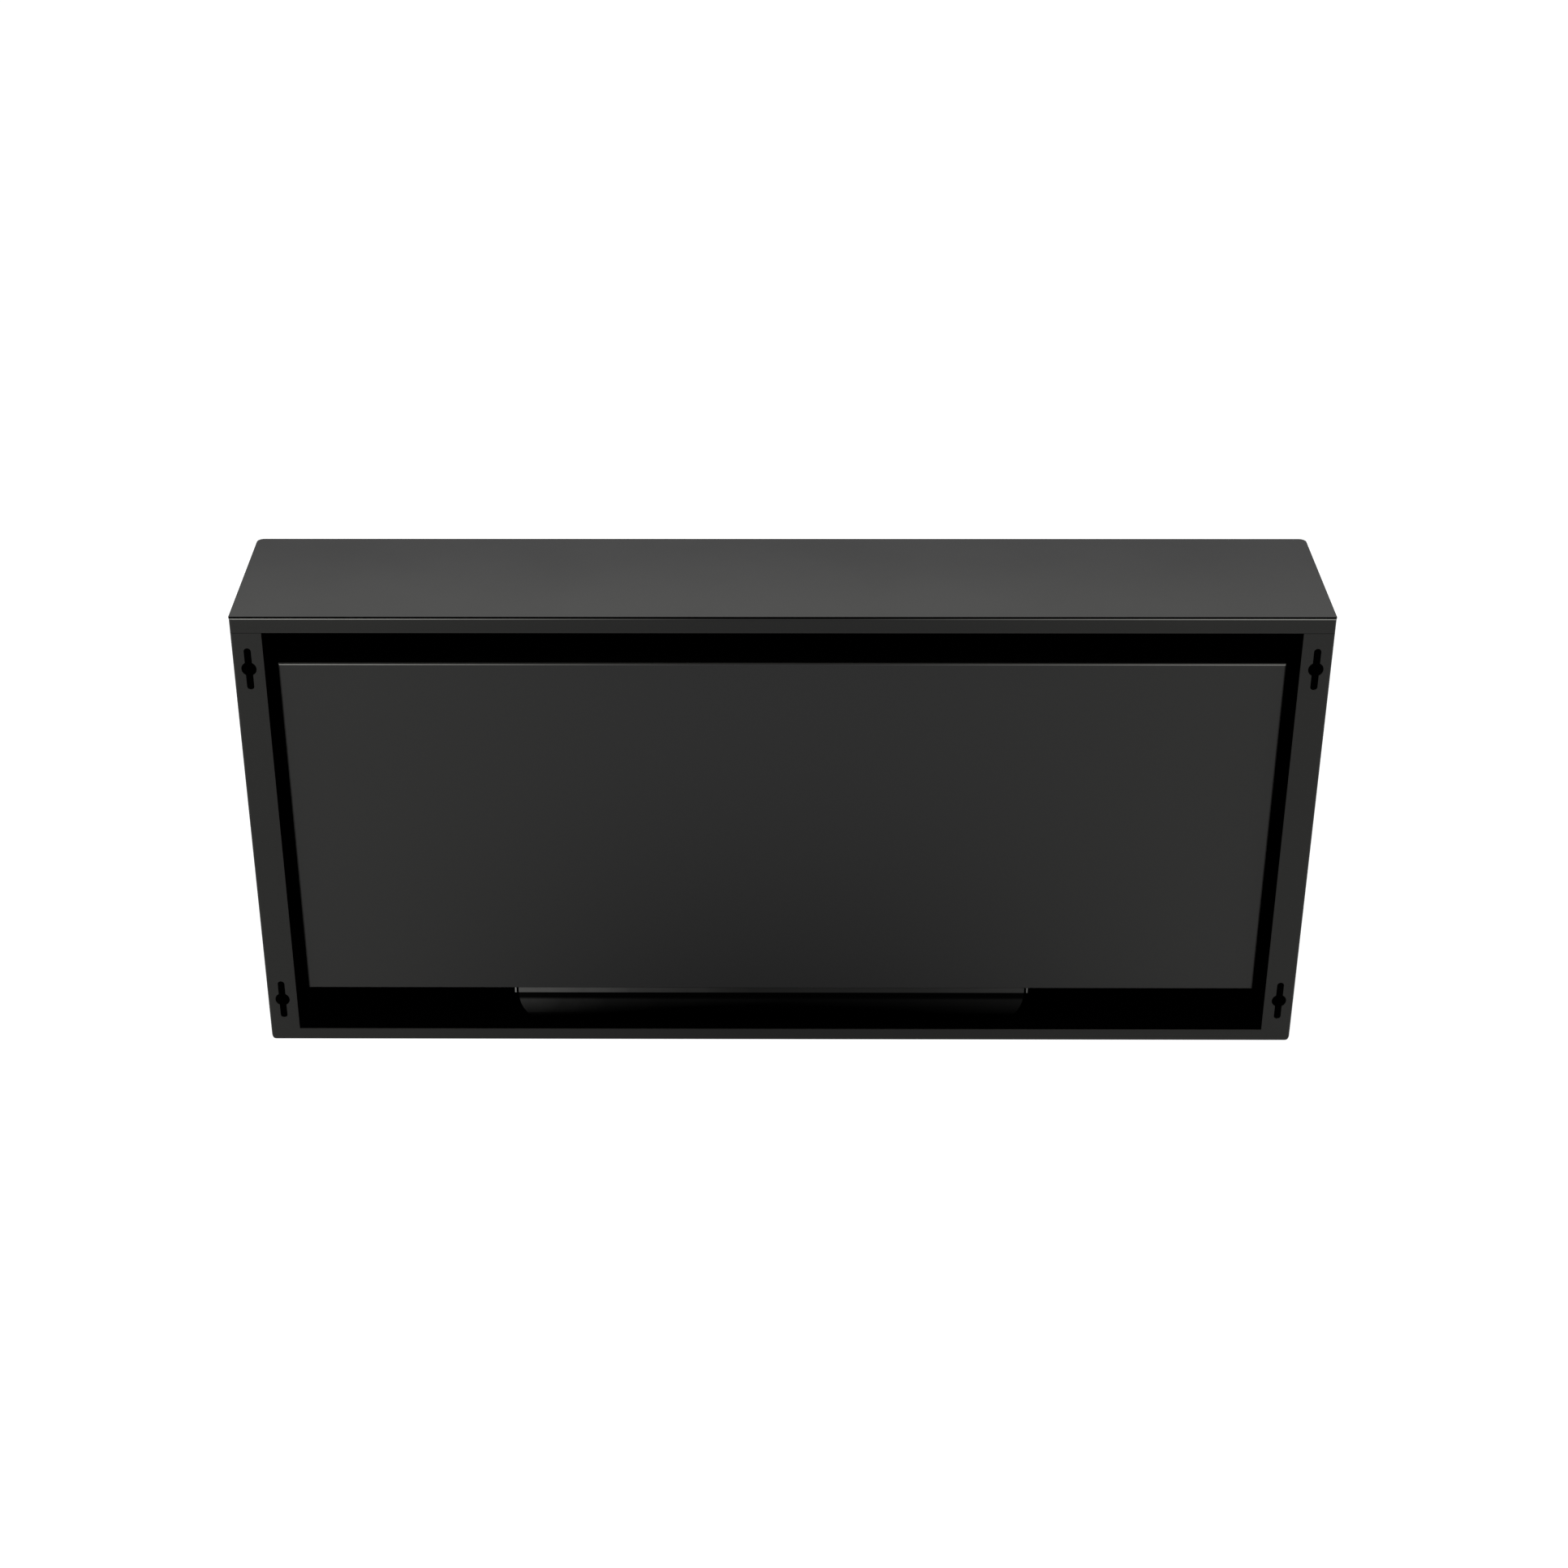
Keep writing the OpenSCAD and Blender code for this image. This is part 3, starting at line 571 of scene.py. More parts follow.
def stainless(name, axis=None):
    """Brushed along X, or turned about an upright axis through the point given."""
    material, tree = new_material(name)
    place = add(tree, "ShaderNodeTexCoord").outputs["Object"]
    if axis is None:
        drawn = add(
            tree, "ShaderNodeMapping", Vector=place,
            Scale=(1 / SCRATCH_LENGTH, 1 / SCRATCH_PITCH, 1 / SCRATCH_PITCH),
        )
    else:
        centred = add(tree, "ShaderNodeMapping", Vector=place, Location=(-axis.x, -axis.y, 0))
        axes = add(tree, "ShaderNodeSeparateXYZ", Vector=centred.outputs[0]).outputs
        flat = add(tree, "ShaderNodeCombineXYZ", X=axes[0], Y=axes[1])
        reach = add(tree, "ShaderNodeVectorMath", {"operation": "LENGTH"}, _0=flat.outputs[0])
        rings = add(tree, "ShaderNodeCombineXYZ", X=reach.outputs[1], Y=axes[2])
        drawn = add(
            tree, "ShaderNodeMapping", Vector=rings.outputs[0],
            Scale=(1 / RING_PITCH, 1 / RING_PITCH, 1),
        )
    scratch = add(
        tree, "ShaderNodeTexNoise", Vector=drawn.outputs[0], Scale=1.0, Detail=4.0, Roughness=0.6,
    )
    cloud = add(tree, "ShaderNodeTexNoise", Vector=place, Scale=14.0, Detail=3.0)
    tone = add(
        tree, "ShaderNodeMix", {"data_type": "RGBA"}, Factor=scratch.outputs[0],
        _6=linear("#b4b2ad"), _7=linear("#d0cec9"),
    )
    warmth = add(tree, "ShaderNodeMapRange", Value=cloud.outputs[0], From_Min=0.45, From_Max=0.75)
    tint = add(
        tree, "ShaderNodeMix", {"data_type": "RGBA", "blend_type": "MULTIPLY"},
        Factor=warmth.outputs[0], _6=tone.outputs[2], _7=linear("#efdcbc"),
    )
    gloss = add(tree, "ShaderNodeMapRange", Value=scratch.outputs[0], To_Min=0.3, To_Max=0.5)
    bump = add(tree, "ShaderNodeBump", Height=scratch.outputs[0], Strength=0.15, Distance=0.01 * MM)
    shader = add(
        tree, "ShaderNodeBsdfPrincipled", Base_Color=tint.outputs[2], Roughness=gloss.outputs[0],
        Normal=bump.outputs[0], Metallic=1.0,
    )
    finish_material(tree, shader)
    return material


knob_low, knob_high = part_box("shutter_knob")
brushed_steel = stainless("stainless sheet, brushed along its length")
turned_steel = stainless("stainless bar, turned", (knob_low + knob_high) / 2)
coat(brushed_steel, "burner_deck", "burner_shutter", "shutter_guide_left", "shutter_guide_right")
coat(turned_steel, "shutter_knob")

# %% [markdown]
# ## Helpers for small turned parts
#
# Screws, studs, nuts and rivets start as half an outline, spun about an axis, as a lathe would cut
# them. A thread is a small triangle that is spun too, but climbs a little with each step. The nodes
# that they stand for hold several solids each, so one helper finds where every solid stands.

# %% Turning and threading
def turned(outline, steps=24):
    """Spins an outline of (radius, height) about Z."""
    form = bmesh.new()
    ring = [form.verts.new((radius, 0, height)) for radius, height in outline]
    for a, b in zip(ring, ring[1:]):
        form.edges.new((a, b))
    bmesh.ops.spin(
        form, geom=form.verts[:] + form.edges[:], axis=(0, 0, 1), angle=2 * math.pi, steps=steps,
        use_merge=True,
    )
    bmesh.ops.remove_doubles(form, verts=form.verts, dist=1e-7)
    bmesh.ops.recalc_face_normals(form, faces=form.faces)
    return form


def dome(radius, height, rim, points, step):
    """The outline of a domed head, from its rim towards its top."""
    turns = [i * step for i in range(points)]
    return [(radius * math.cos(turn), rim + (height - rim) * math.sin(turn)) for turn in turns]


def thread(crest, depth, pitch, bottom, top, steps=14):
    """A helical ridge between two heights, with its crest at a given radius."""
    form = bmesh.new()
    corners = [(crest - depth, 0), (crest, pitch / 2), (crest - depth, pitch * 0.98)]
    ring = [form.verts.new((radius, 0, bottom + height)) for radius, height in corners]
    for i in range(3):
        form.edges.new((ring[i], ring[i - 1]))
    turns = int((top - bottom) / pitch) - 1
    bmesh.ops.spin(
        form, geom=form.verts[:] + form.edges[:], axis=(0, 0, 1), angle=2 * math.pi * turns,
        steps=steps * turns, dvec=(0, 0, pitch / steps),
    )
    bmesh.ops.holes_fill(form, edges=form.edges, sides=3)
    bmesh.ops.recalc_face_normals(form, faces=form.faces)
    return form


trial_dome = dome(4 * MM, 2 * MM, rim=0.3 * MM, points=5, step=0.3)
print("a 2 mm dome is drawn up to", round(trial_dome[-1][1] / MM, 2), "mm, where its flat starts")


# %% Copies, and the places of a node's solids
def picked(kind, parts):
    """The points, or the edges, among the parts that an operator gives back."""
    return [part for part in parts if isinstance(part, kind)]


def join(target, form, matrix=Matrix.Identity(4)):
    """Adds one form to another, moved by a matrix."""
    mesh = bpy.data.meshes.new("part")
    form.to_mesh(mesh)
    mesh.transform(matrix)
    target.from_mesh(mesh)
    bpy.data.meshes.remove(mesh)


def repeated(form, matrices):
    """Copies of one form, each moved by its matrix."""
    many = bmesh.new()
    for matrix in matrices:
        join(many, form, matrix)
    form.free()
    return many


def solids_of(name):
    """The lowest and highest corner of each separate solid in a node."""
    form = bmesh.new()
    form.from_mesh(nodes[name].data)
    bmesh.ops.remove_doubles(form, verts=form.verts, dist=1e-6)
    waiting, boxes = set(form.verts), []
    while waiting:
        group, edge = set(), {next(iter(waiting))}
        while edge:
            group |= edge
            edge = {e.other_vert(v) for v in edge for e in v.link_edges} - group
        waiting -= group
        corners = [[choose(v.co[i] for v in group) for i in range(3)] for choose in (min, max)]
        boxes.append(tuple(Vector(corner) for corner in corners))
    form.free()
    return sorted(boxes, key=lambda box: tuple(box[0]))


for name in ("weld_studs", "flange_nuts", "cheek_screws", "guide_rivets"):
    print(name, "stand in", len(solids_of(name)), "places")


# %% Named pieces
def make_piece(form, name, body, finishes, stands_for=(), sharp=35):
    """Turns a form into a named piece that rides on a body."""
    mesh = bpy.data.meshes.new(name)
    form.to_mesh(mesh)
    form.free()
    for material in finishes:
        mesh.materials.append(material)
    mesh.shade_smooth()
    mesh.set_sharp_from_angle(angle=math.radians(sharp))
    piece = bpy.data.objects.new(name, mesh)
    bpy.context.collection.objects.link(piece)
    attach(piece, body)
    if stands_for:
        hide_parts(*stands_for)
    print(name, "has", len(mesh.polygons), "faces")
    return piece


# %% [markdown]
# ## Studs and flanged nuts
#
# Ten studs are welded to the inside of the front face, and flanged nuts draw the firebox against
# it. Both are zinc plated: a thin, bright, slightly blue skin that is cloudy rather than brushed.
# The nut's hexagon is made from the spun ring by moving its points outwards to the hexagon's
# outline, which also gives the slanted corners that a real nut has.

# %% Zinc plate
zinc_plate, tree = new_material("bright zinc plate")
place = add(tree, "ShaderNodeTexCoord").outputs["Object"]
cloud = add(tree, "ShaderNodeTexNoise", Vector=place, Scale=400.0, Detail=4.0, Roughness=0.65)
tone = add(
    tree, "ShaderNodeMix", {"data_type": "RGBA"}, Factor=cloud.outputs[0],
    _6=linear("#c3c8ce"), _7=linear("#d9dad6"),
)
gloss = add(tree, "ShaderNodeMapRange", Value=cloud.outputs[0], To_Min=0.2, To_Max=0.42)
bump = add(tree, "ShaderNodeBump", Height=cloud.outputs[0], Strength=0.1, Distance=0.01 * MM)
shader = add(
    tree, "ShaderNodeBsdfPrincipled", Base_Color=tone.outputs[2], Roughness=gloss.outputs[0],
    Normal=bump.outputs[0], Metallic=1.0,
)
finish_material(tree, shader)
print("zinc plate ready")

# %% Threaded studs
TO_BACK = Matrix.Rotation(-math.pi / 2, 4, "X")
THREAD_PITCH = 0.7 * MM
THREAD_DEPTH = 0.4 * MM
SUNK = 0.05 * MM
FOOT = 1.2 * MM
stud_boxes = solids_of("weld_studs")
a, b = stud_boxes[0]
stud_r = (b.x - a.x) / 2
stud_h = b.y - a.y
core_r = stud_r - THREAD_DEPTH
stud = turned([
    (0, 0), (stud_r, 0), (stud_r, FOOT - THREAD_DEPTH), (core_r, FOOT),
    (core_r, stud_h - 0.6 * MM), (core_r - 0.5 * MM, stud_h), (0, stud_h),
])
join(stud, thread(stud_r, THREAD_DEPTH + SUNK, THREAD_PITCH, FOOT, stud_h - 0.2 * MM))
places = [
    Matrix.Translation(((a.x + b.x) / 2, a.y, (a.z + b.z) / 2)) @ TO_BACK for a, b in stud_boxes
]
make_piece(
    repeated(stud, places), "studs_threaded", "casing", [zinc_plate], ["weld_studs"],
)

# %% Flanged nuts
FLAT = 3.5 * MM
CHAMFER = 0.3 * MM
SOFTENED = 0.15 * MM
nut_boxes = solids_of("flange_nuts")
a, b = nut_boxes[0]
flange_r = (b.x - a.x) / 2
nut_h = b.y - a.y
bore = stud_r + 0.02 * MM
nut = turned([
    (bore + CHAMFER, 0), (bore, CHAMFER), (bore, nut_h - CHAMFER), (bore + CHAMFER, nut_h),
    (FLAT - SOFTENED, nut_h), (FLAT, nut_h - 0.45 * MM), (FLAT, 1.5 * MM),
    (FLAT + 0.2 * MM, 1.2 * MM), (flange_r - SOFTENED, 0.75 * MM), (flange_r, 0.6 * MM),
    (flange_r, SOFTENED), (flange_r - SOFTENED, 0), (bore + CHAMFER, 0),
])


def hexagon_reach(x, y, flat):
    """Distance from the axis to a hexagon's outline, in the direction of a point."""
    return flat / math.cos((math.atan2(y, x) + math.pi / 6) % (math.pi / 3) - math.pi / 6)


for vertex in nut.verts:
    x, y, z = vertex.co
    if abs(math.hypot(x, y) - FLAT) < 1e-6:
        vertex.co.xy *= hexagon_reach(x, y, FLAT) / FLAT
bmesh.ops.recalc_face_normals(nut, faces=nut.faces)
places = [
    Matrix.Translation(((a.x + b.x) / 2, a.y, (a.z + b.z) / 2)) @ TO_BACK for a, b in nut_boxes
]
make_piece(
    repeated(nut, places), "nuts_flanged", "casing", [zinc_plate], ["flange_nuts"],
    sharp=25,
)

# %% [markdown]
# ## Socket screws
#
# Twelve button-head screws hold the firebox's side walls to its floor and ceiling. They went in
# before the box was sprayed, so they are as black as it is. The key's socket starts as the round
# hole in the spun head: its rim is pulled to a hexagon, drawn down and closed.

# %% Socket screws
SHANK = 5 * MM
SHANK_R = 2 * MM
PLAIN = 2.4 * MM
SOCKET = 1.25 * MM
SOCKET_DEPTH = 1.2 * MM
HEAD_DOWN = Matrix.Rotation(math.pi, 4, "X")
screw_boxes = solids_of("cheek_screws")
a, b = screw_boxes[0]
head_r = (b.x - a.x) / 2
head_h = b.z - a.z - SHANK
core_r = SHANK_R - THREAD_DEPTH
screw = turned([
    (0, -SHANK), (core_r - CHAMFER, -SHANK), (core_r, CHAMFER - SHANK), (core_r, -0.2 * MM - PLAIN),
    (SHANK_R, -PLAIN), (SHANK_R, 0), (head_r, 0),
    *dome(head_r, head_h, rim=0.25 * MM, points=5, step=0.28), (SOCKET * 1.3, head_h),
])
mouth = [e for e in screw.edges if e.is_boundary]
walls = bmesh.ops.extrude_edge_only(screw, edges=mouth)["geom"]
for vertex in picked(bmesh.types.BMVert, walls):
    x, y, z = vertex.co
    vertex.co.xy *= hexagon_reach(x, y, SOCKET) / math.hypot(x, y)
    vertex.co.z -= 0.15 * MM
walls = bmesh.ops.extrude_edge_only(screw, edges=picked(bmesh.types.BMEdge, walls))["geom"]
bmesh.ops.translate(
    screw, verts=picked(bmesh.types.BMVert, walls), vec=(0, 0, -SOCKET_DEPTH),
)
bmesh.ops.holes_fill(screw, edges=[e for e in screw.edges if e.is_boundary], sides=0)
bmesh.ops.recalc_face_normals(screw, faces=screw.faces)
join(screw, thread(SHANK_R - 0.02 * MM, THREAD_DEPTH, THREAD_PITCH, 0.2 * MM - SHANK, -PLAIN))
places = []
for a, b in screw_boxes:
    middle = (a + b) / 2
    if middle.z < 0:
        places.append(Matrix.Translation((middle.x, middle.y, a.z + SHANK)))
    else:
        places.append(Matrix.Translation((middle.x, middle.y, b.z - SHANK)) @ HEAD_DOWN)
make_piece(
    repeated(screw, places), "screws_socketed", "casing", [stove_paint],
    ["cheek_screws"],
)

# %% [markdown]
# ## Blind rivets
#
# Four stainless rivets hold the shutter's guides on the deck. A blind rivet is pulled from above by
# a pin, which snaps off inside the head and leaves a small pit with the stump of the pin in it.

# %% Blind rivets
GUIDE_SHEET = 1.2 * MM
PIT_R = 0.9 * MM
PIT_DEPTH = 0.9 * MM
STUMP_DEPTH = 0.6 * MM
rivet_boxes = solids_of("guide_rivets")
a, b = rivet_boxes[0]
deck_low, deck_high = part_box("burner_deck")
rivet_r = (b.x - a.x) / 2
grip = deck_high.z - deck_low.z + GUIDE_SHEET
rivet_h = b.z - a.z - grip
rivet = turned([
    (0, -grip), (SHANK_R - CHAMFER, -grip), (SHANK_R, CHAMFER - grip), (SHANK_R, 0), (rivet_r, 0),
    *dome(rivet_r, rivet_h, rim=0.3 * MM, points=6, step=0.24),
    (PIT_R + 0.1 * MM, rivet_h), (PIT_R, rivet_h - 0.1 * MM), (PIT_R, rivet_h - PIT_DEPTH),
    (0.4 * MM, rivet_h - STUMP_DEPTH), (0, rivet_h - STUMP_DEPTH),
])
places = [
    Matrix.Translation(((a.x + b.x) / 2, (a.y + b.y) / 2, a.z + grip)) for a, b in rivet_boxes
]
make_piece(
    repeated(rivet, places), "rivets_domed", "burner", [brushed_steel],
    ["guide_rivets"],
)

# %% [markdown]
# ## The glass guard
#
# The pane is toughened glass with rounded corners and ground, polished edges. Clear glass has a
# trace of iron, which we only see where light has travelled far through it, so the broad faces are
# nearly colourless and the edges are green. The pane starts as a box. One bevel rounds its corners
# and a second takes the sharp arris off all round. The edges get a finish of their own. Smooth
# shading must stop at the arris, or the broad faces would bend the view like a lens. The renderer
# sends no light straight through glass, so a pane would darken all that lies behind it and its own
# edges too. Clear glass does not, so ours throws no shadow, and bounced light passes it freely.

# %% Two finishes for glass
def glass(name, clean, smeared, clean_roughness, smeared_roughness):
    material, tree = new_material(name)
    place = add(tree, "ShaderNodeTexCoord").outputs["Object"]
    smear = add(tree, "ShaderNodeTexNoise", Vector=place, Scale=18.0, Detail=5.0, Distortion=1.2)
    film = add(tree, "ShaderNodeMapRange", Value=smear.outputs[0], From_Min=0.5, From_Max=0.8)
    tone = add(
        tree, "ShaderNodeMix", {"data_type": "RGBA"}, Factor=film.outputs[0],
        _6=linear(clean), _7=linear(smeared),
    )
    gloss = add(
        tree, "ShaderNodeMapRange", Value=film.outputs[0],
        To_Min=clean_roughness, To_Max=smeared_roughness,
    )
    shader = add(
        tree, "ShaderNodeBsdfPrincipled", Base_Color=tone.outputs[2], Roughness=gloss.outputs[0],
        IOR=1.52, Transmission_Weight=1.0,
    )
    finish_material(tree, shader)
    return material


glass_face = glass("toughened glass, broad faces", "#f6fbf9", "#edf3f1", 0.0, 0.05)
glass_edge = glass("toughened glass, polished edge", "#a9d3c3", "#9cc7b7", 0.08, 0.16)
print("glass finishes: 2")

# %% Pane
CORNER_R = 6 * MM
ARRIS = 0.6 * MM


def through(edge):
    """1 for an edge that runs through the pane's thickness, and 0 for one along a broad face."""
    return abs((edge.verts[0].co - edge.verts[1].co).normalized().y)


pane_low, pane_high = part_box("glass_guard")
pane = bmesh.new()
bmesh.ops.create_cube(pane, size=1)
bmesh.ops.scale(pane, verts=pane.verts, vec=pane_high - pane_low)
bmesh.ops.translate(pane, verts=pane.verts, vec=(pane_low + pane_high) / 2)
corners = [e for e in pane.edges if through(e) > 0.9]
bmesh.ops.bevel(
    pane, geom=corners, offset=CORNER_R, segments=10, profile=0.5, affect="EDGES", material=-1,
)
rims = [e for e in pane.edges if through(e) < 0.1 and e.calc_face_angle(0) > 1]
bmesh.ops.bevel(
    pane, geom=rims, offset=ARRIS, segments=2, profile=0.5, affect="EDGES", material=-1,
)
for face in pane.faces:
    face.material_index = 0 if abs(face.normal.y) > 0.99 else 1
pane_piece = make_piece(
    pane, "pane_arrissed", "glass", [glass_face, glass_edge], ["glass_guard"],
    sharp=10,
)
pane_piece.visible_shadow = False
pane_piece.visible_diffuse = False
pane_piece.visible_glossy = False

# %% [markdown]
# ## Woven liners
#
# A folded strip of heat-proof tape keeps the pane off each clip. A weave is two sets of yarns that
# go over and under each other. On this strip one set runs along X, and the other goes down one
# wall, across the bottom and up the other, so the sum of Y and Z is a measure along it. Two sine
# waves of those, multiplied, give the chequer of crossings. The strip is a bent line that is
# extruded and thickened, and loose yarn ends stand out of its two cut ends.

# %% Woven tape
YARN = 0.9 * MM
woven_tape, tree = new_material("woven heat-proof tape")
place = add(tree, "ShaderNodeTexCoord").outputs["Object"]
axes = add(tree, "ShaderNodeSeparateXYZ", Vector=place).outputs
round_u = add(tree, "ShaderNodeMath", {"operation": "ADD"}, _0=axes[1], _1=axes[2])
waves = []
for coordinate in (axes[0], round_u.outputs[0]):
    angle = add(
        tree, "ShaderNodeMath", {"operation": "MULTIPLY"}, _0=coordinate, _1=math.pi / YARN,
    )
    waves.append(add(tree, "ShaderNodeMath", {"operation": "SINE"}, _0=angle.outputs[0]).outputs[0])
cross = add(tree, "ShaderNodeMath", {"operation": "MULTIPLY"}, _0=waves[0], _1=waves[1])
fuzz = add(tree, "ShaderNodeTexNoise", Vector=place, Scale=2500.0, Detail=3.0)
weave = add(tree, "ShaderNodeMapRange", Value=cross.outputs[0], From_Min=-1.0, From_Max=1.0)
tone = add(
    tree, "ShaderNodeMix", {"data_type": "RGBA"}, Factor=weave.outputs[0],
    _6=linear("#8f8a80"), _7=linear("#b5b0a5"),
)
wear_and_highlight = add(
    tree, "ShaderNodeMix", {"data_type": "RGBA", "blend_type": "MULTIPLY"}, Factor=0.5,
    _6=tone.outputs[2], _7=fuzz.outputs[0],
)
height = add(
    tree, "ShaderNodeMath", {"operation": "MULTIPLY_ADD"},
    _0=fuzz.outputs[0], _1=0.3, _2=weave.outputs[0],
)
bump = add(tree, "ShaderNodeBump", Height=height.outputs[0], Strength=0.6, Distance=0.15 * MM)
shader = add(
    tree, "ShaderNodeBsdfPrincipled", Base_Color=wear_and_highlight.outputs[2], Roughness=0.92,
    Normal=bump.outputs[0], Sheen_Weight=0.2,
)
finish_material(tree, shader)
print("yarns are", round(YARN / MM, 2), "mm apart")


# %% Strands, for loose yarns and fibres
def strands(name, paths, thickness, body, material):
    """Thin tubes along lists of points, as one piece."""
    curve = bpy.data.curves.new(name, "CURVE")
    curve.dimensions = "3D"
    curve.bevel_depth = thickness / 2
    curve.bevel_resolution = 0
    curve.use_fill_caps = True
    for path in paths:
        spline = curve.splines.new("POLY")
        spline.points.add(len(path) - 1)
        for point, place in zip(spline.points, path):
            point.co = (*place, 1)
    holder = bpy.data.objects.new(name, curve)
    bpy.context.collection.objects.link(holder)
    evaluated = holder.evaluated_get(bpy.context.evaluated_depsgraph_get())
    mesh = bpy.data.meshes.new_from_object(evaluated)
    form = bmesh.new()
    form.from_mesh(mesh)
    bmesh.ops.recalc_face_normals(form, faces=form.faces)
    bpy.data.objects.remove(holder)
    bpy.data.meshes.remove(mesh)
    return make_piece(form, name, body, [material])


# %% Liners
LINER = 0.8 * MM
HALF_LINER = LINER / 2
FOLD_R = 0.9 * MM
LOOSE_YARN = 0.3 * MM
YARN_ROOT = 0.5 * MM
random.seed(7)
for side in ("left", "right"):
    a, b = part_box("clip_liner_" + side)
    front, back, bottom = a.y + HALF_LINER, b.y - HALF_LINER, a.z + HALF_LINER
    tape = bmesh.new()
    path = [(front, b.z), (front, bottom), (back, bottom), (back, b.z)]
    line = [tape.verts.new((a.x, y, z)) for y, z in path]
    for start, end in zip(line, line[1:]):
        tape.edges.new((start, end))
    bmesh.ops.bevel(
        tape, geom=line[1:3], offset=FOLD_R, segments=4, profile=0.5, affect="VERTICES",
        material=-1,
    )
    swept = bmesh.ops.extrude_edge_only(tape, edges=tape.edges[:])["geom"]
    bmesh.ops.translate(tape, verts=picked(bmesh.types.BMVert, swept), vec=(b.x - a.x, 0, 0))
    bmesh.ops.recalc_face_normals(tape, faces=tape.faces)
    bmesh.ops.solidify(tape, geom=tape.faces[:], thickness=LINER)
    sides = [v.co.y for v in tape.verts]
    across = (a.y + b.y) / 2 - (min(sides) + max(sides)) / 2
    upwards = a.z - min(v.co.z for v in tape.verts)
    bmesh.ops.translate(tape, verts=tape.verts, vec=(0, across, upwards))
    bmesh.ops.recalc_face_normals(tape, faces=tape.faces)
    make_piece(
        tape, "liner_woven_" + side, "casing", [woven_tape], ["clip_liner_" + side],
        sharp=50,
    )
    yarns = []
    for x, outward in ((a.x, -1), (b.x, 1)):
        for y in (front, back):
            z = a.z + LINER
            while z < b.z - LINER:
                reach = random.uniform(0.5, 1.6) * MM
                yarns.append([
                    (x - outward * YARN_ROOT, y, z), (x + outward * reach * 0.5, y, z),
                    (x + outward * reach, y, z - 0.35 * reach),
                ])
                z += YARN
    strands("liner_yarns_" + side, yarns, LOOSE_YARN, "casing", woven_tape)

# %% [markdown]
# ## Ceramic wool
#
# The tub is packed with ceramic wool, which soaks up the fuel and feeds the flame evenly. It is
# matted, not woven: the surface is lumpy at a centimetre, fluffy at a millimetre, and single
# fibres stand off it. The shape starts from the exact solid. A voxel remesh gives it an even skin
# of small faces, and a layered noise then presses each point a little inwards, so the wool never
# grows through the tub. Simulated cloth wouldn't help here, because wool pressed into a tub has no
# folds. Loose fibres are laid over the part that shows through the flame slot.

# %% Wool finish
wool_finish, tree = new_material("matted ceramic wool")
place = add(tree, "ShaderNodeTexCoord").outputs["Object"]
tufts = add(
    tree, "ShaderNodeTexNoise", Vector=place, Scale=160.0, Detail=6.0, Roughness=0.7,
    Distortion=2.5,
)
hair = add(tree, "ShaderNodeTexNoise", Vector=place, Scale=1500.0, Detail=3.0, Distortion=4.0)
tone = add(
    tree, "ShaderNodeMix", {"data_type": "RGBA"}, Factor=tufts.outputs[0],
    _6=linear("#c9c4b6"), _7=linear("#ebe8e0"),
)
height = add(tree, "ShaderNodeMath", {"operation": "ADD"}, _0=tufts.outputs[0], _1=hair.outputs[0])
bump = add(tree, "ShaderNodeBump", Height=height.outputs[0], Strength=0.7, Distance=0.5 * MM)
shader = add(
    tree, "ShaderNodeBsdfPrincipled", Base_Color=tone.outputs[2], Roughness=0.97,
    Normal=bump.outputs[0], Sheen_Weight=0.25,
)
finish_material(tree, shader)
print("wool finish ready")

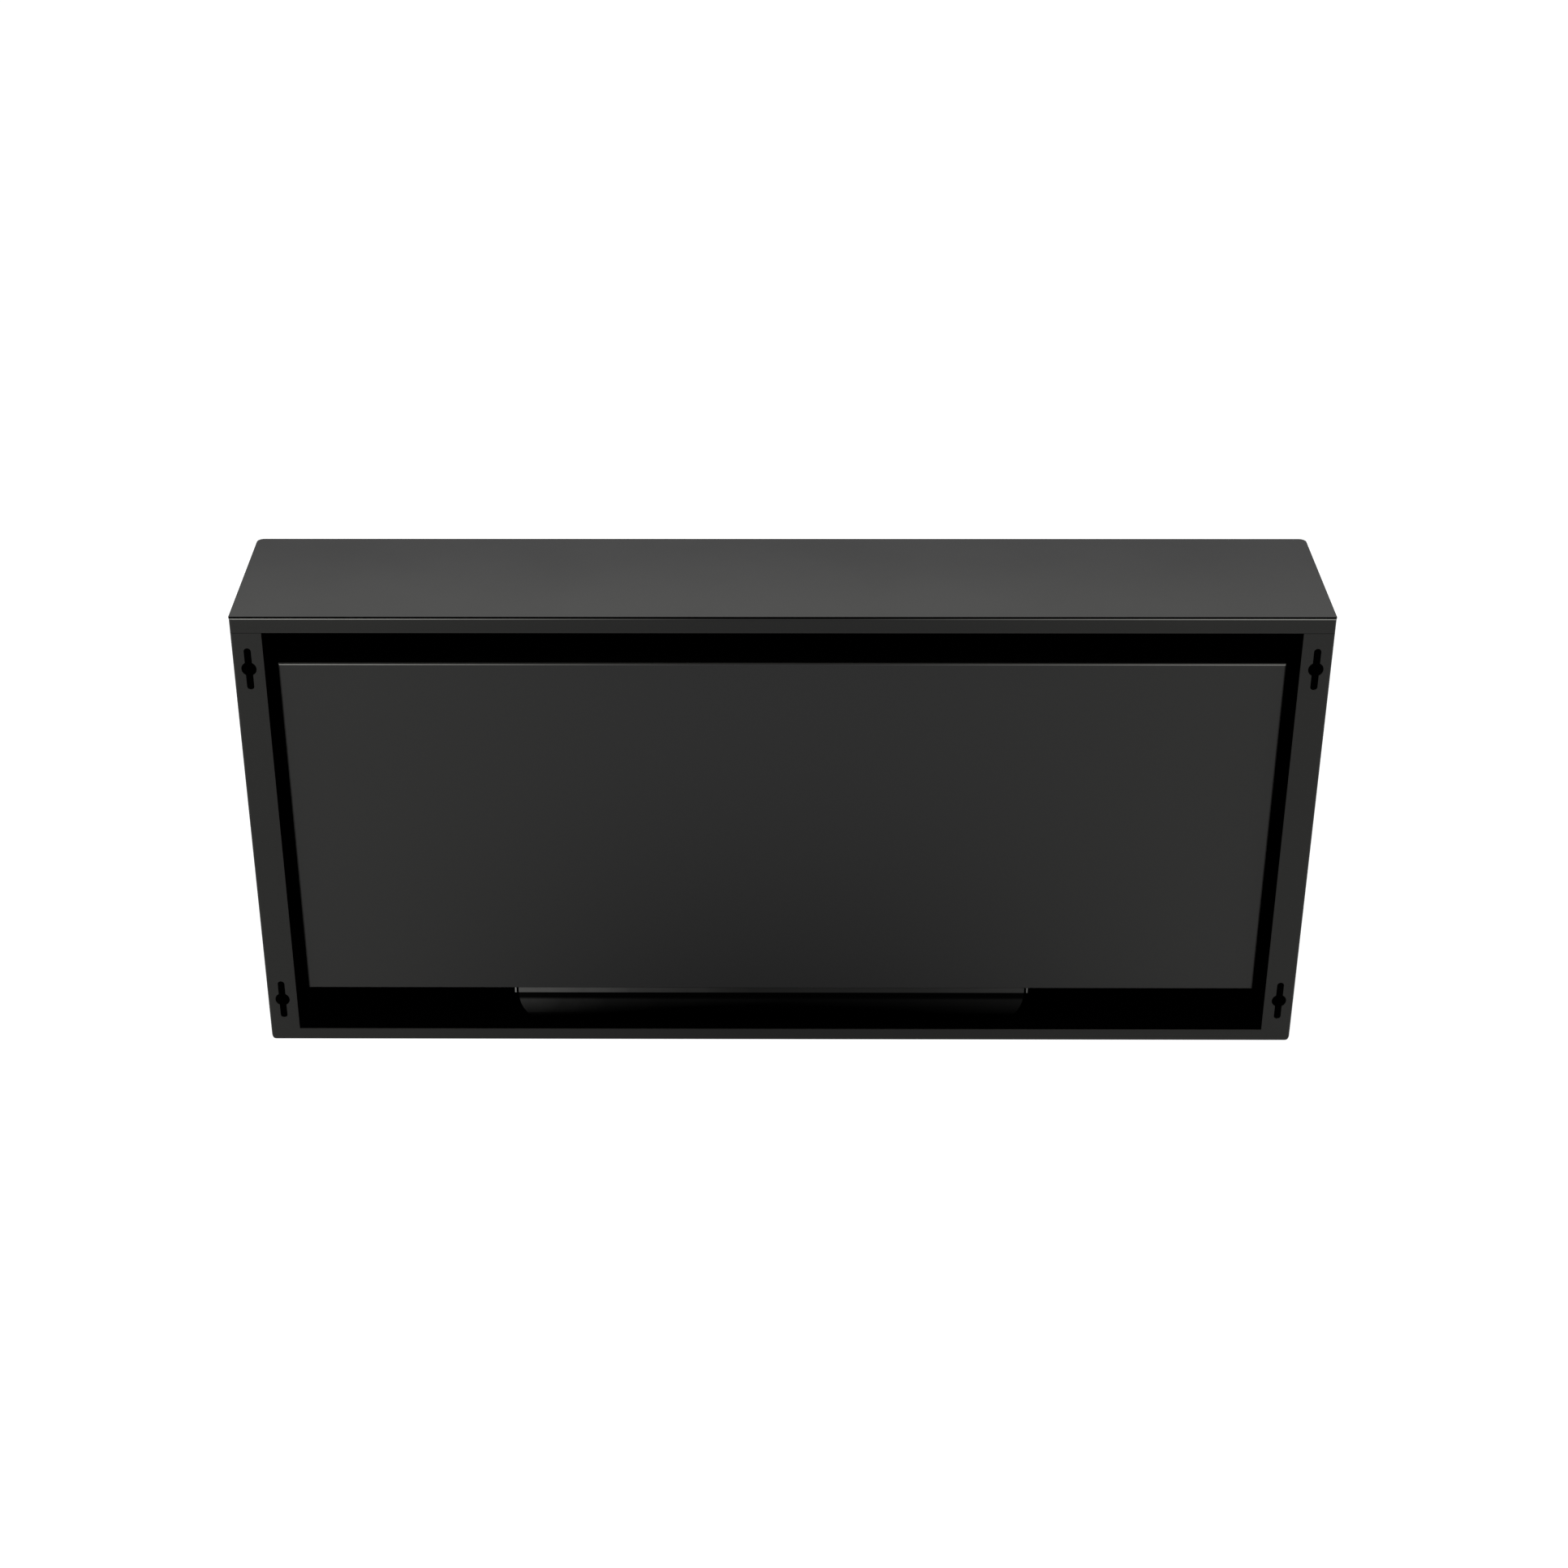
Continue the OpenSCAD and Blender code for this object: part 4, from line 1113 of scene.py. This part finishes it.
# %% Wool
SKIN_FACE = 3 * MM
LUMPS_PER_METRE = 70
TUFTS_PER_METRE = 330
form = bmesh.new()
form.from_mesh(nodes["ceramic_wool"].data)
bmesh.ops.remove_doubles(form, verts=form.verts, dist=1e-6)
raw = bpy.data.meshes.new("wool_raw")
form.to_mesh(raw)
form.free()
holder = bpy.data.objects.new("wool_raw", raw)
bpy.context.collection.objects.link(holder)
remesh = holder.modifiers.new("even skin", "REMESH")
remesh.mode = "VOXEL"
remesh.voxel_size = SKIN_FACE
evaluated = holder.evaluated_get(bpy.context.evaluated_depsgraph_get())
even = bpy.data.meshes.new_from_object(evaluated)
bpy.data.objects.remove(holder)
bpy.data.meshes.remove(raw)
form = bmesh.new()
form.from_mesh(even)
bpy.data.meshes.remove(even)
form.normal_update()
presses = []
for vertex in form.verts:
    lump = noise.noise(vertex.co * LUMPS_PER_METRE) * 0.5 + 0.5
    tuft = noise.noise(vertex.co * TUFTS_PER_METRE) * 0.5 + 0.5
    presses.append((vertex, vertex.normal * (0.3 + 1.6 * lump + 0.9 * tuft) * MM))
for vertex, press in presses:
    vertex.co -= press
bmesh.ops.recalc_face_normals(form, faces=form.faces)
make_piece(
    form, "wool_matted", "burner", [wool_finish], ["ceramic_wool"], sharp=180,
)

# %% Loose fibres
FIBRES = 420
FIBRE = 0.16 * MM
FIBRE_STEP = 1.6 * MM
ROOT_DEPTH = 1.6 * MM
END_MARGIN = 16 * MM
SIDE_MARGIN = 2 * MM
shutter_low, shutter_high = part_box("burner_shutter")
wool_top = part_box("ceramic_wool")[1].z
fibres = []
for _ in range(FIBRES):
    x = random.uniform(shutter_low.x + END_MARGIN, shutter_high.x - END_MARGIN)
    y = random.uniform(shutter_low.y + SIDE_MARGIN, shutter_high.y - SIDE_MARGIN)
    heading, curl = random.uniform(0, 2 * math.pi), random.uniform(-0.6, 0.6)
    path, z = [], wool_top - ROOT_DEPTH
    for step in range(6):
        path.append((x, y, z))
        x += FIBRE_STEP * math.cos(heading)
        y += FIBRE_STEP * math.sin(heading)
        heading += curl
        z += (0.55 if step < 3 else -0.6) * MM * random.uniform(0.4, 1.2)
    fibres.append(path)
strands("wool_fibres", fibres, FIBRE, "burner", wool_finish)
